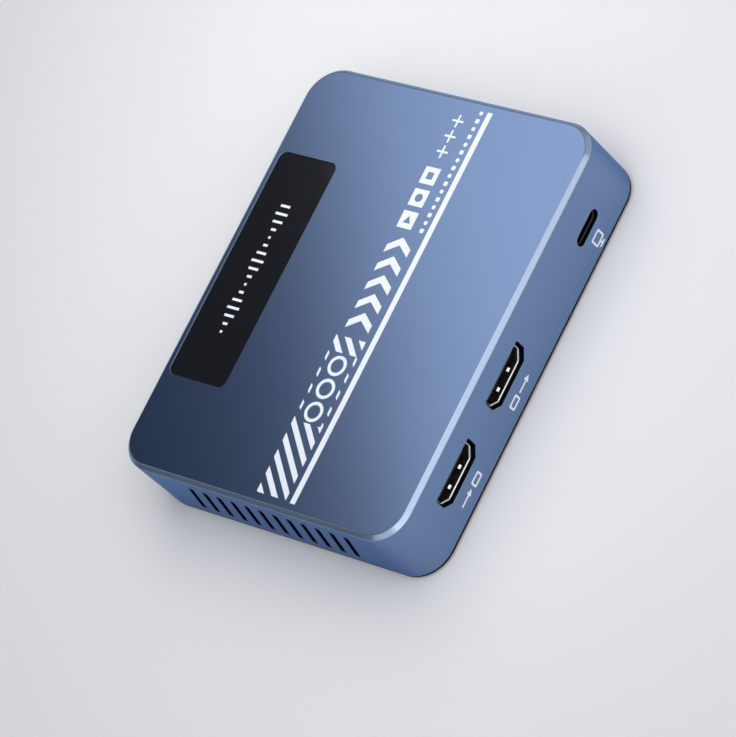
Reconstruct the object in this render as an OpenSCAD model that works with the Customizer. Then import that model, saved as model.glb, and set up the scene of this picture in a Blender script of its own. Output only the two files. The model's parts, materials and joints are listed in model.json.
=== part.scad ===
// Desktop video capture box: a bevelled aluminium case over a black base, with two video sockets and a
// host socket in its long front face, slanted vents in both ends and a dark light window in its top.
// Millimetres. +Z is up, the port face looks along -Y, and the origin is on the table under the middle.

/* [Case] */
// Length of the case along the port face
case_l = 105; // [100:1:120]
// Depth of the case from the port face to its back
case_w = 84; // [82:1:96]
// Height of the case without its feet
case_h = 20; // [19:0.5:26]
// Radius of the upright corners
corner_r = 8.5; // [6:0.5:11]
// Width and height of the bevel round the top face
bevel = 1.05; // [0.4:0.05:1.4]
// Thickness of the side walls
wall = 1; // [0.9:0.1:1.8]
// Thickness of the top
roof = 2; // [1.8:0.1:2.6]

/* [Base] */
// Thickness of the base's rim that shows under the case
base_rim = 0.7; // [0.5:0.1:1.2]
// Height of the base's lip inside the case
base_lip = 1; // [0.8:0.1:1.6]
// How far the rim stands back from the case's sides
base_reveal = 0.1; // [0.05:0.05:0.4]
// Gap between the lip and the case's walls
lip_gap = 0.15; // [0.05:0.05:0.3]
// Distance of the corner posts and base screws from both sides
post_inset = 7; // [6.5:0.1:8]
// Diameter of the case's corner posts
post_d = 5.2; // [4.4:0.1:6]

/* [Feet] */
// Diameter of a rubber foot
foot_d = 9; // [6:0.5:12]
// How far the feet stand below the base
foot_drop = 0.8; // [0.5:0.1:2]
// Depth of the pockets that hold the feet
foot_sunk = 0.6; // [0.3:0.1:0.8]
// Distance of the feet's middles from both sides
foot_inset = 15.5; // [14:0.5:22]

/* [Vents] */
// Number of slots in each end
vent_count = 12; // [6:1:12]
// Spacing of the slots
vent_pitch = 4.25; // [3.2:0.05:4.5]
// Width of a slot
vent_w = 1.4; // [1:0.1:1.8]
// Height of a slot from its lowest to its highest point
vent_rise = 12.6; // [8:0.1:13]
// Lean of the slots from upright
vent_tilt = 20; // [0:1:25]
// Height of the slots' middle above the case's underside
vent_mid = 9.5; // [9.2:0.05:10]

/* [Ports] */
// Distance of the video input's middle from the left end
video_in_end = 22.35; // [19.5:0.05:26.5]
// Spacing of the two video sockets
video_spacing = 24.35; // [20:0.05:30]
// Distance of the host socket's middle from the right end
host_end = 19.45; // [18.5:0.05:25.5]
// Gap beside a video socket's shell in the case's wall
video_side_gap = 0.6; // [0.2:0.05:0.8]
// Gap above and below a video socket's shell in the case's wall
video_gap = 0.18; // [0.1:0.02:0.5]
// Gap beside the host socket's shell in the case's wall
host_gap = 0.12; // [0.08:0.02:0.4]
// Height of the case's opening for the host socket
host_slot_h = 3.05; // [2.9:0.05:3.4]
// Gap between the case's wall and the fronts of the sockets
socket_set = 0.1; // [0.05:0.05:0.5]
// How far the sockets reach past the board's front edge
socket_lead = 0.9; // [0.4:0.1:1.2]

/* [Video sockets] */
// Width of the opening
video_w = 14; // [13.8:0.05:14.4]
// Height of the opening
video_h = 4.55; // [4.4:0.05:4.8]
// Width of the slanted lower corners
video_cut_w = 2; // [1.4:0.1:2.4]
// Height of the slanted lower corners
video_cut_h = 1.9; // [1.4:0.1:2.2]
// Thickness of the shell's sheet metal
video_t = 0.3; // [0.25:0.05:0.4]
// Depth of the shell
video_depth = 10.8; // [9.5:0.1:12]
// Height of the shell above the board
video_lift = 0.8; // [0.5:0.1:1.2]
// Width of the tongue
video_tongue_w = 11.4; // [11:0.1:11.8]
// Thickness of the tongue
video_tongue_t = 1.1; // [0.9:0.1:1.4]
// How far the tongue's tip lies behind the shell's front
video_tongue_set = 1.2; // [0.8:0.1:2]
// Length of the tongue
video_tongue_len = 6.4; // [5.5:0.1:7]
// Distance of the spring leaves from the socket's middle
spring_x = 2.5; // [2:0.1:3.2]
// Width of a spring leaf
spring_w = 1; // [0.8:0.1:1.6]
// How far a spring leaf dips into the opening
spring_dip = 0.45; // [0.3:0.05:0.6]

/* [Host socket] */
// Width of the opening
host_w = 8.34; // [8.3:0.02:8.6]
// Height of the opening
host_h = 2.56; // [2.5:0.02:2.8]
// Thickness of the shell's sheet metal
host_t = 0.3; // [0.25:0.05:0.4]
// Depth of the shell
host_depth = 7.4; // [6.6:0.1:9]
// Width of the tongue
host_tongue_w = 6.69; // [6.4:0.01:6.9]
// Thickness of the tongue
host_tongue_t = 0.7; // [0.6:0.05:0.9]
// How far the tongue's tip lies behind the shell's front
host_tongue_set = 0.9; // [0.6:0.1:1.4]
// Length of the tongue
host_tongue_len = 4.4; // [4:0.1:5]

/* [Main board] */
// Thickness of the board
board_t = 1.6; // [1.2:0.1:2]
// Height of the board's upper face above the case's underside
board_top = 7.2; // [7:0.05:7.6]
// Gap between the board and the case's walls
board_gap = 1; // [0.5:0.1:1.4]
// Distance of the board screws from the board's ends
board_screw_in = 5; // [4.5:0.1:6]
// Distance of the board screws from the middle of the case's depth
board_screw_y = 22; // [20:0.5:24]
// Diameter of the base's standoffs
standoff_d = 5; // [4.4:0.1:6]

/* [Light window] */
// Length of the pocket for the window
window_l = 58.6; // [50:0.1:60]
// Width of the pocket for the window
window_w = 17.4; // [15:0.1:18]
// Radius of the pocket's corners
window_r = 2; // [1.6:0.1:3]
// Thickness of the window
window_t = 0.8; // [0.5:0.1:1]
// How far the window lies below the top face
window_sink = 0.2; // [0.05:0.05:0.3]
// Gap round the window in its pocket
window_gap = 0.08; // [0.04:0.02:0.2]
// Distance of the pocket from the back of the case
window_edge = 2.3; // [2:0.1:4]
// Width of the ledge that carries the window
window_ledge = 3.2; // [2:0.1:4]
// Thickness of the light guide's flange
guide_t = 1.8; // [1.5:0.1:2.4]
// Gap round the light guide in its slot
guide_gap = 0.15; // [0.1:0.05:0.3]
// Width of the flange round the light guide
guide_lap = 2; // [1:0.1:2.4]

/* [Light board] */
// Thickness of the light board
light_board_t = 1; // [0.8:0.1:1.6]
// Length of the light board past the window at each end
light_board_past = 7; // [6:0.1:7.5]
// Distance of the light board's screws from its ends
light_screw_in = 3.2; // [3:0.1:3.4]
// Number of lamps
lamp_count = 6; // [3:1:8]
// Height of a lamp
lamp_h = 0.9; // [0.6:0.1:1.2]
// Width of the flat cable
flex_w = 6; // [4:0.5:8]
// Thickness of the flat cable
flex_t = 0.3; // [0.2:0.05:0.4]
// Distance of the flat cable's sockets from the window's right end
flex_end = 9.3; // [7.5:0.1:13]

/* [Cooling] */
// Side of the processor
processor_side = 19; // [15:0.5:21]
// Thickness of the processor
processor_t = 1.5; // [1.2:0.1:2]
// Thickness of the heat pad
pad_t = 0.5; // [0.3:0.1:1]
// Side of the heat sink
sink_side = 24; // [22:0.5:26]
// Thickness of the heat sink's plate
sink_t = 2; // [1.5:0.1:3]
// Height of the heat sink's fins
fin_h = 4.6; // [3:0.1:5]
// Thickness of a fin
fin_t = 0.9; // [0.6:0.1:1.2]
// Number of fins
fin_count = 8; // [5:1:9]

/* [Screws] */
// Thread diameter of the base and board screws
screw_d = 2; // [1.6:0.1:2.2]
// Length of a base screw
base_screw_len = 8; // [6:0.5:10]
// Length of a board screw under its head
board_screw_len = 4.6; // [4:0.1:5]
// Thread diameter of the light board's screws
light_screw_d = 1.6; // [1.4:0.1:1.8]
// Gap round a screw in its hole
screw_gap = 0.06; // [0.04:0.01:0.1]

/* [Hidden] */
$fn = 48;
over = 1;
fillet_steps = 4;

// Heights
case_z = foot_drop;
rim_z = case_z + base_rim;
deck_z = rim_z + base_lip;
top_z = case_z + case_h;
roof_z = top_z - roof;
board_z = case_z + board_top;
board_low_z = board_z - board_t;
video_z = board_z + video_lift + video_t + video_h / 2;
host_z = board_z + host_t + host_h / 2;
vent_z = case_z + vent_mid;
guide_z = roof_z - guide_t;
light_board_z = guide_z - light_board_t;
sink_z = board_z + processor_t + pad_t;

// Places in plan
port_y = -case_w / 2;
video_in_x = video_in_end - case_l / 2;
video_out_x = video_in_x + video_spacing;
host_x = case_l / 2 - host_end;
socket_y = port_y + wall + socket_set;
board_front = socket_y + socket_lead;
board_back = case_w / 2 - wall - board_gap;
board_l = case_l - 2 * (wall + board_gap);
post_x = case_l / 2 - post_inset;
post_y = case_w / 2 - post_inset;
foot_x = case_l / 2 - foot_inset;
foot_y = case_w / 2 - foot_inset;
board_screw_x = board_l / 2 - board_screw_in;
window_y = case_w / 2 - window_edge - window_w / 2;
light_board_l = window_l + 2 * light_board_past;
light_screw_x = light_board_l / 2 - light_screw_in;
light_board_w = window_w - 2 * window_ledge + 2 * guide_lap;
slot_r_less = 0.5;
slot_l = window_l - 2 * window_ledge;
slot_w = window_w - 2 * window_ledge;
slot_r = window_r - slot_r_less;
processor_at = [-4, 4];
power_pitch = 9;
power_end = 14.3;
power_x = board_l / 2 - power_end - 2 * power_pitch;
chip_behind = 9;
behind_video = socket_y + video_depth + chip_behind;
behind_host = socket_y + host_depth + chip_behind;

// Fasteners
screw_r = screw_d / 2;
screw_hole_r = screw_r + screw_gap;
head_r = 1.9 * screw_r;
flat_head_h = 1.1 * screw_r;
pan_head_h = 1.3 * screw_r;
light_screw_r = light_screw_d / 2;
light_head_r = 1.8 * light_screw_r;
light_head_h = 1.2 * light_screw_r;
light_screw_len = light_board_t + 0.8 * guide_t;
light_boss_r = 2.6 * light_screw_r;
recess_share = 0.6;
board_hole_spare = 0.4;
notch_gap = 0.7;
rib_t = 1.2;
foot_gap = 0.1;
foot_edge = 0.4;

// Socket details
video_r = 0.6;
video_hole_r = 0.5;
leg_w = 1.2;
leg_gap = 0.2;
leg_past = 0.4;
video_legs = [1.6, 7.6];
host_legs = [1.2, 5.2];
blade_t = 0.12;
tail_t = 0.15;
tail_len = 1.2;
insulator_back = 1;
insulator_gap = 0.04;
video_pitch = 1;
video_blade_w = 0.45;
video_blade_set = 0.6;
video_tail_pitch = 0.5;
video_tail_w = 0.25;
host_pitch = 0.5;
host_blade_w = 0.26;
host_blade_set = 0.5;
spring_root = 5.4;
spring_hold = 0.4;
spring_tip = 1.1;
spring_bend = 1.55;
spring_slit = 0.3;
spring_t = 0.22;

// Flat cable and its sockets
flex_x = window_l / 2 - flex_end;
flex_socket_l = flex_w + 3;
flex_socket_w = 4.2;
flex_socket_h = 1.6;
flex_socket_y = window_y - 2;
flex_mouth_y = flex_socket_y - flex_socket_w / 2;
flex_run = 1.2;
flex_in = 1.8;
flex_gap = 0.06;
flex_high_z = light_board_z - flex_socket_h / 2;
flex_low_z = board_z + flex_socket_h / 2;
flex_bend_r = (flex_high_z - flex_low_z) / 2;

// Small parts: length, width and height of each kind
lamp_size = [3.5, 2.8];
lamp_gap = 0.25;
lamp_lens_r = 1.15;
lamp_lens_deep = 0.3;
chip_t = 0.9;
chip_mark_r = 0.35;
chip_mark_deep = 0.08;
receiver_side = 9;
driver_side = 8;
controller_side = 9;
memory_size = [13, 10, 1];
memory_gap = 3;
flash_size = [4.9, 3.9, 1.7];
flash_legs = 4;
flash_leg_pitch = 1.27;
flash_leg = [0.42, 1.2, 0.4];
flash_lift = 0.15;
crystal_size = [3.2, 2.5, 0.8];
crystal_step = 0.2;
choke_side = 6.6;
choke_h = 3;
choke_foot_h = 2.25;
choke_core_r = 2.9;
can_side = 6.6;
can_h = 5.8;
can_foot_h = 0.8;
can_r = 3.15;
capacitor_size = [1.6, 0.8, 0.8];
resistor_size = [1, 0.5, 0.35];
small_gap = 1.1;
crystal_out = 9;
grid_out = 3;
can_out = 3.4;
memory_x = processor_at.x - sink_side / 2 - memory_size.x / 2 - memory_gap;
flash_y = processor_at.y + memory_size.y + memory_gap + flash_size.y + flash_leg.y;

// Shared shapes

module at_corners(dx, dy) {
    for (sx = [-1, 1], sy = [-1, 1]) translate([sx * dx, sy * dy, 0]) children();
}

module round_rect(l, w, r) {
    square([l - 2 * r, w], center = true);
    square([l, w - 2 * r], center = true);
    at_corners(l / 2 - r, w / 2 - r) circle(r);
}

module plate(l, w, r, low, high) {
    translate([0, 0, low]) linear_extrude(high - low) round_rect(l, w, r);
}

module block(l, w, low, high) {
    translate([-l / 2, -w / 2, low]) cube([l, w, high - low]);
}

module rod(r, low, high) {
    translate([0, 0, low]) cylinder(h = high - low, r = r);
}

// A flat outline in X and Z, drawn out along +Y from the plane y = start
module along_y(start, depth) {
    translate([0, start + depth, 0]) rotate([90, 0, 0]) linear_extrude(depth) children();
}

// A flat outline in Y and Z, drawn out along X and centred on x = 0
module along_x(length) {
    rotate([90, 0, 90]) linear_extrude(length, center = true) children();
}

module stadium(w, h) {
    square([w - h, h], center = true);
    for (s = [-1, 1]) translate([s * (w - h) / 2, 0]) circle(h / 2);
}

function unit(v) = v / norm(v);

// Points of the arc that rounds the corner b of an outline that runs anticlockwise from a through b to c
function corner_arc(a, b, c, r) =
    let (u = unit(a - b), v = unit(c - b), half = acos(u * v) / 2)
    let (middle = b + unit(u + v) * r / sin(half), first = b + u * r / tan(half) - middle)
    let (from = atan2(first.y, first.x), turn = (180 - 2 * half) / fillet_steps)
    [for (i = [0 : fillet_steps]) middle + r * [cos(from + i * turn), sin(from + i * turn)]];

function rounded(points, r) =
    let (n = len(points))
    [for (i = [0 : n - 1]) each corner_arc(points[(i + n - 1) % n], points[i], points[(i + 1) % n], r)];

// The video socket's opening, grown by g on every side: wide at the top, with slanted lower corners, and
// with its corners rounded to the radius r
function video_outline(g, r) =
    let (slope = norm([video_cut_h, video_cut_w]), reach = video_cut_h * video_w / 2)
    let (far = reach + video_cut_w * (video_h / 2 - video_cut_h) + g * slope)
    let (side = video_w / 2 + g, top = video_h / 2 + g, low_x = (far - video_cut_w * top) / video_cut_h)
    let (side_z = (video_cut_h * side - far) / video_cut_w)
    rounded([[-low_x, -top], [low_x, -top], [side, side_z], [side, top], [-side, top], [-side, side_z]], r);

// The hole for a video socket in the case's wall, with more room beside the shell than above it
function video_hole() =
    let (more = video_side_gap - video_gap)
    [for (p = video_outline(video_t + video_gap, video_hole_r)) [p.x + sign(p.x) * more, p.y]];

// Case

module case_block() {
    edge = [[0, rim_z], [corner_r, rim_z], [corner_r, top_z - bevel], [corner_r - bevel, top_z], [0, top_z]];
    at_corners(case_l / 2 - corner_r, case_w / 2 - corner_r) rotate_extrude() polygon(edge);
    along_x(case_l - 2 * corner_r) bevelled_section(case_w);
    rotate([0, 0, 90]) along_x(case_w - 2 * corner_r) bevelled_section(case_l);
}

module bevelled_section(w) {
    low = w / 2;
    high = w / 2 - bevel;
    polygon([[-low, rim_z], [low, rim_z], [low, top_z - bevel], [high, top_z], [-high, top_z],
        [-low, top_z - bevel]]);
}

module case_cavity() {
    plate(case_l - 2 * wall, case_w - 2 * wall, corner_r - wall, rim_z - over, roof_z);
}

// A post for a base screw, tied to the corner by a rib
module corner_posts() {
    reach = post_inset - wall / 2;
    for (sx = [-1, 1], sy = [-1, 1]) translate([sx * post_x, sy * post_y, 0]) {
        rod(post_d / 2, deck_z, roof_z + roof / 2);
        rotate([0, 0, atan2(sy, sx)]) translate([0, -rib_t / 2, deck_z + base_lip])
            cube([reach, rib_t, roof_z + roof / 2 - deck_z - base_lip]);
    }
}

module vent_slots() {
    length = (vent_rise - vent_w) / cos(vent_tilt) + vent_w;
    for (i = [0 : vent_count - 1]) translate([0, (i - (vent_count - 1) / 2) * vent_pitch, vent_z])
        along_x(case_l + 2 * over) rotate(90 + vent_tilt) stadium(length, vent_w);
}

module port_cutouts() {
    for (x = [video_in_x, video_out_x]) translate([x, 0, video_z])
        along_y(port_y - over, wall + 2 * over) polygon(video_hole());
    translate([host_x, 0, host_z]) along_y(port_y - over, wall + 2 * over)
        stadium(host_w + 2 * (host_t + host_gap), host_slot_h);
}

module top_shell() {
    color("#5f78a6") difference() {
        union() {
            difference() {
                case_block();
                case_cavity();
            }
            intersection() {
                corner_posts();
                plate(case_l - wall, case_w - wall, corner_r - wall / 2, rim_z, roof_z + roof / 2);
            }
            for (s = [-1, 1]) translate([s * light_screw_x, window_y, 0])
                rod(light_boss_r, guide_z, roof_z + roof / 2);
        }
        at_corners(post_x, post_y) rod(screw_hole_r, deck_z - over, case_z + base_screw_len + over / 2);
        for (s = [-1, 1]) translate([s * light_screw_x, window_y, 0])
            rod(light_screw_r + screw_gap, guide_z - over, guide_z + guide_t);
        translate([0, window_y, 0]) {
            plate(window_l, window_w, window_r, top_z - window_t - window_sink, top_z + over);
            plate(slot_l, slot_w, slot_r, roof_z - over, top_z);
        }
        vent_slots();
        port_cutouts();
    }
}

module base_plate() {
    lip = wall + lip_gap;
    color("#17191d") difference() {
        union() {
            plate(case_l - 2 * base_reveal, case_w - 2 * base_reveal, corner_r - base_reveal, case_z, rim_z);
            plate(case_l - 2 * lip, case_w - 2 * lip, corner_r - lip, case_z + base_rim / 2, deck_z);
            at_corners(board_screw_x, board_screw_y) rod(standoff_d / 2, rim_z, board_low_z);
        }
        at_corners(foot_x, foot_y) rod(foot_d / 2 + foot_gap, case_z - over, case_z + foot_sunk);
        at_corners(post_x, post_y) {
            rod(screw_hole_r, case_z - over, deck_z + over);
            translate([0, 0, case_z]) cylinder(h = flat_head_h, r1 = head_r + screw_gap, r2 = screw_hole_r);
            rod(head_r + screw_gap, case_z - over, case_z + screw_gap / 2);
        }
        at_corners(board_screw_x, board_screw_y)
            rod(screw_hole_r, board_z - board_screw_len - board_hole_spare, board_low_z + over);
    }
}

module rubber_feet() {
    r = foot_d / 2;
    top = foot_drop + foot_sunk;
    color("#202225") at_corners(foot_x, foot_y) rotate_extrude()
        polygon([[0, 0], [r - foot_edge, 0], [r, foot_edge], [r, top], [0, top]]);
}

// A cross-shaped drive recess that opens downwards from z = 0
module cross_recess(r, deep) {
    arm_l = 1.2 * r;
    arm_w = 0.32 * r;
    for (turn = [0, 90]) rotate([0, 0, turn]) block(arm_l, arm_w, -over, deep);
}

module base_screws() {
    color("#8d9096") at_corners(post_x, post_y) difference() {
        union() {
            translate([0, 0, case_z + screw_gap / 2]) cylinder(h = flat_head_h, r1 = head_r, r2 = screw_r);
            rod(screw_r, case_z + flat_head_h, case_z + base_screw_len);
        }
        translate([0, 0, case_z]) cross_recess(head_r, recess_share * flat_head_h);
    }
}

// Light window

module light_window() {
    color("#0c0d10") translate([0, window_y, 0]) plate(window_l - 2 * window_gap, window_w - 2 * window_gap,
        window_r - window_gap, top_z - window_sink - window_t, top_z - window_sink);
}

function lamp_x(i) = (i - (lamp_count - 1) / 2) * slot_l / lamp_count;

module light_guide() {
    color("#e8ecef") translate([0, window_y, 0]) difference() {
        union() {
            plate(slot_l - 2 * guide_gap, slot_w - 2 * guide_gap, slot_r - guide_gap, guide_z,
                top_z - window_sink - window_t);
            plate(slot_l + 2 * guide_lap, slot_w + 2 * guide_lap, window_r, guide_z, roof_z);
        }
        for (i = [0 : lamp_count - 1]) translate([lamp_x(i), 0, 0])
            block(lamp_size.x + 2 * lamp_gap, lamp_size.y + 2 * lamp_gap, guide_z - over,
                guide_z + lamp_h + lamp_gap);
    }
}

module light_board() {
    color("#17191c") translate([0, window_y, 0]) difference() {
        plate(light_board_l, light_board_w, window_r, light_board_z, guide_z);
        for (s = [-1, 1]) translate([s * light_screw_x, 0, 0])
            rod(light_screw_r + screw_gap, light_board_z - over, guide_z + over);
    }
}

module lamps() {
    color("#f4f2ea") for (i = [0 : lamp_count - 1]) translate([lamp_x(i), window_y, 0]) difference() {
        block(lamp_size.x, lamp_size.y, guide_z, guide_z + lamp_h);
        rod(lamp_lens_r, guide_z + lamp_h - lamp_lens_deep, guide_z + lamp_h + over);
    }
}

module light_board_screws() {
    color("#8d9096") for (s = [-1, 1]) translate([s * light_screw_x, window_y, 0]) difference() {
        union() {
            rod(light_screw_r, light_board_z - light_head_h / 2, light_board_z + light_screw_len);
            rod(light_head_r, light_board_z - light_head_h, light_board_z);
        }
        translate([0, 0, light_board_z - light_head_h])
            cross_recess(light_head_r, recess_share * light_head_h);
    }
}

module flex_socket(low) {
    slit = flex_t + 2 * flex_gap;
    color("#d8d2c4") translate([flex_x, flex_socket_y, 0]) difference() {
        block(flex_socket_l, flex_socket_w, low, low + flex_socket_h);
        translate([-flex_w / 2 - flex_gap, -flex_socket_w / 2 - over, low + flex_socket_h / 2 - slit / 2])
            cube([flex_w + 2 * flex_gap, flex_in + flex_gap + over, slit]);
    }
}

module light_flex_socket() {
    flex_socket(light_board_z - flex_socket_h);
}

module board_flex_socket() {
    flex_socket(board_z);
}

module light_flex_cable() {
    bend_y = flex_mouth_y - flex_run;
    run = flex_run + flex_in;
    color("#e9e4d6") translate([flex_x, 0, 0]) along_x(flex_w) {
        translate([bend_y, (flex_high_z + flex_low_z) / 2]) difference() {
            circle(flex_bend_r + flex_t / 2);
            circle(flex_bend_r - flex_t / 2);
            translate([0, -2 * flex_bend_r]) square(4 * flex_bend_r);
        }
        for (z = [flex_high_z, flex_low_z]) translate([bend_y, z - flex_t / 2]) square([run, flex_t]);
    }
}

// Main board

// A slot through the board for one leg of a socket's shell
module leg_hole(t) {
    block(t + 2 * leg_gap, leg_w + 2 * leg_gap, board_low_z - over, board_z + over);
}

module main_board() {
    board_w = board_back - board_front;
    notch_x = board_l / 2 - post_x + post_d / 2 + notch_gap;
    notch_front = -post_y + post_d / 2 + notch_gap;
    notch_back = post_y - post_d / 2 - notch_gap;
    color("#17191c") difference() {
        translate([-board_l / 2, board_front, board_low_z]) cube([board_l, board_w, board_t]);
        for (s = [-1, 1]) translate([s * (board_l - notch_x) / 2 + s * over, 0, 0]) {
            translate([0, (board_front + notch_front) / 2 - over, 0])
                block(notch_x + 2 * over, notch_front - board_front + 2 * over, 0, top_z);
            translate([0, (board_back + notch_back) / 2 + over, 0])
                block(notch_x + 2 * over, board_back - notch_back + 2 * over, 0, top_z);
        }
        at_corners(board_screw_x, board_screw_y) rod(screw_hole_r, 0, top_z);
        for (x = [video_in_x, video_out_x]) translate([x, socket_y, 0])
            leg_places(video_w, video_t, video_legs) leg_hole(video_t);
        translate([host_x, socket_y, 0]) leg_places(host_w, host_t, host_legs) leg_hole(host_t);
    }
}

module board_screws() {
    color("#8d9096") at_corners(board_screw_x, board_screw_y) difference() {
        union() {
            rod(screw_r, board_z - board_screw_len, board_z + pan_head_h / 2);
            rod(head_r, board_z, board_z + pan_head_h);
        }
        translate([0, 0, board_z + pan_head_h]) mirror([0, 0, 1])
            cross_recess(head_r, recess_share * pan_head_h);
    }
}

// Sockets, each drawn with its opening's middle over x = 0 and its front at y = 0

module leg_places(w, t, rows) {
    for (s = [-1, 1], y = rows) translate([s * (w + t) / 2, y + leg_w / 2, 0]) children();
}

// A leaf cut free from the shell's wall: it dips to its bend and turns back up to its tip
module video_spring() {
    inner = video_h / 2;
    dip = inner - spring_dip;
    held = spring_root + spring_hold;
    along_x(spring_w) polygon([[held, inner], [held, inner + video_t], [spring_root, inner + video_t],
        [spring_bend, dip + spring_t], [spring_tip, inner + spring_t], [spring_tip, inner],
        [spring_bend, dip], [spring_root, inner]]);
}

module video_spring_slit() {
    length = spring_root - spring_tip + spring_slit;
    inner = video_h / 2 - spring_slit;
    translate([0, spring_tip - spring_slit + length / 2, 0])
        block(spring_w + 2 * spring_slit, length, inner, video_h / 2 + video_t + over);
}

module video_shell(x) {
    color("#b9bcc0") translate([x, socket_y, video_z]) {
        difference() {
            along_y(0, video_depth) polygon(video_outline(video_t, video_r + video_t));
            along_y(-over, video_depth + 2 * over) polygon(video_outline(0, video_r));
            for (s = [-1, 1]) translate([s * spring_x, 0, 0]) {
                video_spring_slit();
                mirror([0, 0, 1]) video_spring_slit();
            }
        }
        for (s = [-1, 1]) translate([s * spring_x, 0, 0]) {
            video_spring();
            mirror([0, 0, 1]) video_spring();
        }
        leg_places(video_w, video_t, video_legs)
            block(video_t, leg_w, board_low_z - leg_past - video_z, video_h / 2 - video_cut_h);
    }
}

module video_insulator(x) {
    rear = video_tongue_set + video_tongue_len;
    color("#101113") translate([x, socket_y, video_z]) {
        along_y(rear, video_depth - rear) polygon(video_outline(-insulator_gap, video_r - insulator_gap));
        translate([-video_w / 2 + video_r, video_depth, board_z - video_z])
            cube([video_w - 2 * video_r, insulator_back, video_z - board_z + video_h / 2]);
        translate([-video_tongue_w / 2, video_tongue_set, -video_tongue_t / 2])
            cube([video_tongue_w, video_tongue_len + over, video_tongue_t]);
    }
}

module video_contacts(x) {
    start = video_tongue_set + video_blade_set;
    length = video_tongue_set + video_tongue_len - start;
    top = video_tongue_t / 2;
    color("#d9b45a") translate([x, socket_y, 0]) {
        for (i = [0 : 9]) translate([(i - 4.5) * video_pitch, start + length / 2, video_z])
            block(video_blade_w, length, top, top + blade_t);
        for (i = [0 : 8]) translate([(i - 4) * video_pitch, start + length / 2, video_z])
            block(video_blade_w, length, -top - blade_t, -top);
        for (i = [0 : 18])
            translate([(i - 9) * video_tail_pitch, video_depth + insulator_back + tail_len / 2, 0])
                block(video_tail_w, tail_len, board_z, board_z + tail_t);
    }
}

module video_in_shell() {
    video_shell(video_in_x);
}

module video_in_insulator() {
    video_insulator(video_in_x);
}

module video_in_contacts() {
    video_contacts(video_in_x);
}

module video_out_shell() {
    video_shell(video_out_x);
}

module video_out_insulator() {
    video_insulator(video_out_x);
}

module video_out_contacts() {
    video_contacts(video_out_x);
}

module host_port_shell() {
    color("#54575c") translate([host_x, socket_y, host_z]) {
        difference() {
            along_y(0, host_depth) stadium(host_w + 2 * host_t, host_h + 2 * host_t);
            along_y(-over, host_depth + 2 * over) stadium(host_w, host_h);
        }
        leg_places(host_w, host_t, host_legs) block(host_t, leg_w, board_low_z - leg_past - host_z, 0);
    }
}

module host_port_insulator() {
    rear = host_tongue_set + host_tongue_len;
    inset = 2 * insulator_gap;
    color("#101113") translate([host_x, socket_y, host_z]) {
        along_y(rear, host_depth - rear) stadium(host_w - inset, host_h - inset);
        translate([-host_tongue_w / 2, host_depth, board_z - host_z])
            cube([host_tongue_w, insulator_back, host_z - board_z + host_h / 2]);
        translate([-host_tongue_w / 2, host_tongue_set, -host_tongue_t / 2])
            cube([host_tongue_w, host_tongue_len + over, host_tongue_t]);
    }
}

module host_port_contacts() {
    start = host_tongue_set + host_blade_set;
    length = host_tongue_set + host_tongue_len - start;
    top = host_tongue_t / 2;
    color("#d9b45a") translate([host_x, socket_y, 0]) for (i = [0 : 11]) {
        translate([(i - 5.5) * host_pitch, start + length / 2, host_z]) {
            block(host_blade_w, length, top, top + blade_t);
            block(host_blade_w, length, -top - blade_t, -top);
        }
        translate([(i - 5.5) * host_pitch, host_depth + insulator_back + tail_len / 2, 0])
            block(host_blade_w, tail_len, board_z, board_z + tail_t);
    }
}

// Cooling

module at_processor() {
    translate([processor_at.x, processor_at.y, 0]) children();
}

module capture_processor() {
    step = 1.2;
    substrate_t = 0.4 * processor_t;
    color("#2b2e33") at_processor() {
        block(processor_side, processor_side, board_z, board_z + substrate_t);
        block(processor_side - 2 * step, processor_side - 2 * step, board_z, board_z + processor_t);
    }
}

module heat_pad() {
    step = 1.6;
    color("#9fb4c4") at_processor() block(processor_side - 2 * step, processor_side - 2 * step,
        board_z + processor_t, sink_z);
}

module heat_sink() {
    pitch = (sink_side - fin_t) / (fin_count - 1);
    color("#2f3338") at_processor() {
        block(sink_side, sink_side, sink_z, sink_z + sink_t);
        for (i = [0 : fin_count - 1]) translate([0, (i - (fin_count - 1) / 2) * pitch, 0])
            block(sink_side, fin_t, sink_z + sink_t / 2, sink_z + sink_t + fin_h);
    }
}

// Small parts on the main board

// A square package with a round mark by its first corner
module chip(x, y, side) {
    mark = side / 2 - 3 * chip_mark_r;
    top = board_z + chip_t;
    translate([x, y, 0]) difference() {
        block(side, side, board_z, top);
        translate([-mark, mark, 0]) rod(chip_mark_r, top - chip_mark_deep, top + over);
    }
}

module video_receiver_chip() {
    color("#24272b") chip(video_in_x, behind_video, receiver_side);
}

module video_driver_chip() {
    color("#24272b") chip(video_out_x, behind_video, driver_side);
}

module host_controller_chip() {
    color("#24272b") chip(host_x, behind_host, controller_side);
}

module memory_chips() {
    reach = (memory_size.y + memory_gap) / 2;
    color("#24272b") for (s = [-1, 1]) translate([memory_x, processor_at.y + s * reach, 0])
        block(memory_size.x, memory_size.y, board_z, board_z + memory_size.z);
}

module flash_chip() {
    reach = (flash_size.y + flash_leg.y) / 2 - flash_lift;
    color("#24272b") translate([memory_x, flash_y, 0]) {
        block(flash_size.x, flash_size.y, board_z + flash_lift, board_z + flash_size.z);
        for (i = [0 : flash_legs - 1], s = [-1, 1])
            translate([(i - (flash_legs - 1) / 2) * flash_leg_pitch, s * reach, 0])
                block(flash_leg.x, flash_leg.y, board_z, board_z + flash_leg.z);
    }
}

// A metal can with a flange round its foot
module clock_crystals() {
    size = crystal_size;
    lid = 2 * crystal_step;
    places = [[video_in_x + crystal_out, behind_video], [host_x - crystal_out, behind_host]];
    color("#c3c6ca") for (at = places) translate([at.x, at.y, 0]) {
        block(size.x, size.y, board_z, board_z + size.z - crystal_step);
        block(size.x - lid, size.y - lid, board_z, board_z + size.z);
    }
}

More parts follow.
